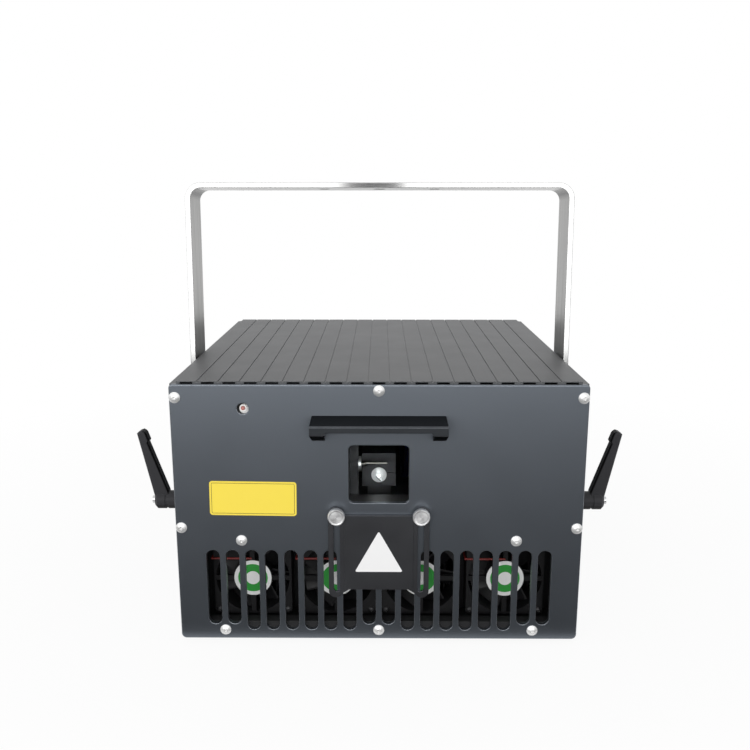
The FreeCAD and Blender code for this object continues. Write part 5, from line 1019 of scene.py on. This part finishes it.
# %% [markdown]
# The studio is a pale paper floor under an open white sky. Seen by the camera, in a mirror or through
# glass, both are white. Close to the case the paper keeps part of its own shading, so the case sits
# in its shadow; further out it fades to plain white, and no line shows where it meets the sky.

# %% Floor and sky
FLOOR_HALF = 12.0
FLOOR_COLOUR = (0.90, 0.90, 0.90)
WHITE = (1.0, 1.0, 1.0)
GLOW_REACH = (0.35, 1.0)
GLOW_SHARE = (0.92, 1.0)
SKY_LIGHT = 0.60


def seen_directly(tree):
    """One where a ray comes from the camera, a mirror or glass, and zero for scattered light."""
    path = add(tree, "ShaderNodeLightPath").outputs
    first = calc(tree, "MAXIMUM", path["Is Camera Ray"], path["Is Glossy Ray"])
    return calc(tree, "MAXIMUM", first, path["Is Transmission Ray"])


def flat_stage(name, width, length):
    """A flat rectangle that belongs to the studio, with an empty material to fill."""
    mesh = bpy.data.meshes.new(name)
    shape = bmesh.new()
    bmesh.ops.create_grid(shape, x_segments=1, y_segments=1, size=1 / 2)
    bmesh.ops.scale(shape, vec=(width, length, 1), verts=shape.verts)
    shape.to_mesh(mesh)
    shape.free()
    thing = bpy.data.objects.new(name, mesh)
    bpy.context.scene.collection.objects.link(thing)
    material = bpy.data.materials.new(name)
    material.use_nodes = True
    material.node_tree.nodes.clear()
    mesh.materials.append(material)
    return thing, material.node_tree


def make_floor():
    floor, tree = flat_stage("floor_paper", 2 * FLOOR_HALF, 2 * FLOOR_HALF)
    far = calc_vector(tree, "LENGTH", coordinates(tree))
    share = calc(tree, "MULTIPLY", seen_directly(tree), stretch(tree, far, GLOW_REACH, GLOW_SHARE))
    paper = add(tree, "ShaderNodeBsdfDiffuse", {"Color": paint(FLOOR_COLOUR)}).outputs[0]
    glow = add(tree, "ShaderNodeEmission", {"Color": paint(WHITE), "Strength": 1.0}).outputs[0]
    surface = add(tree, "ShaderNodeMixShader", {0: share, 1: paper, 2: glow}).outputs[0]
    add(tree, "ShaderNodeOutputMaterial", {"Surface": surface})
    print("floor", floor.name)


def make_sky():
    world = bpy.data.worlds.new("white_sky")
    world.use_nodes = True
    tree = world.node_tree
    background = tree.nodes["Background"]
    background.inputs["Color"].default_value = paint(WHITE)
    strength = stretch(tree, seen_directly(tree), UNIT, (SKY_LIGHT, 1.0))
    tree.links.new(strength, background.inputs["Strength"])
    bpy.context.scene.world = world
    print("sky", world.name)


make_floor()
make_sky()
bpy.context.scene.view_settings.view_transform = "Standard"

# %% [markdown]
# A dark metal shows what it reflects. The front of the case fades from grey at its upper edge to a
# much darker grey below, because its upper part mirrors the bright lamp behind the camera and its lower
# part the dark floor of the room. A black card in front of the case plays that floor, and a small grey
# one stands for the camera itself, which shows as a patch on the yoke. Both show in reflections alone.

# %% Dark cards
FLOOR_CARD = {"colour": (0.012, 0.012, 0.012), "size": (4.0, 2.8), "place": (0.0, -1.61, 0.003)}
CAMERA_CARD = {"colour": (0.45, 0.45, 0.46), "size": (0.13, 0.20), "place": (-0.016, -0.975, 0.55)}


def dark_card(name, colour, size, place, lean=0.0):
    card, tree = flat_stage(name, *size)
    card.location = place
    card.rotation_euler = (lean, 0, 0)
    card.visible_camera = False
    card.visible_diffuse = False
    card.visible_shadow = False
    matt = add(tree, "ShaderNodeBsdfDiffuse", {"Color": paint(colour)}).outputs[0]
    add(tree, "ShaderNodeOutputMaterial", {"Surface": matt})
    print("card", name)


dark_card("room_floor_card", **FLOOR_CARD)
dark_card("camera_card", lean=math.pi / 2, **CAMERA_CARD)

# %% [markdown]
# Two soft panels light the case: a wide one behind the camera, a little to the left, and a weak one
# overhead. Area lamps give the soft edges of a studio, and metals mirror their shape.

# %% Lamps
FRONT_LAMP = {"place": (-0.35, -2.4, 0.86), "target": (0.0, 0.0, 0.35), "size": (3.4, 1.7), "watts": 44}
OVERHEAD_LAMP = {"place": (-0.3, -0.3, 2.1), "target": (0.0, 0.0, 0.1), "size": (2.2, 2.2), "watts": 4}


def soft_panel(name, place, target, size, watts):
    """A rectangular soft light that faces a target."""
    data = bpy.data.lights.new(name, "AREA")
    data.shape = "RECTANGLE"
    data.size, data.size_y = size
    data.energy = watts
    lamp = bpy.data.objects.new(name, data)
    lamp.location = place
    lamp.rotation_euler = (Vector(target) - Vector(place)).to_track_quat("-Z", "Y").to_euler()
    bpy.context.scene.collection.objects.link(lamp)
    print("lamp", name, watts, "W")


soft_panel("front_lamp", **FRONT_LAMP)
soft_panel("overhead_lamp", **OVERHEAD_LAMP)
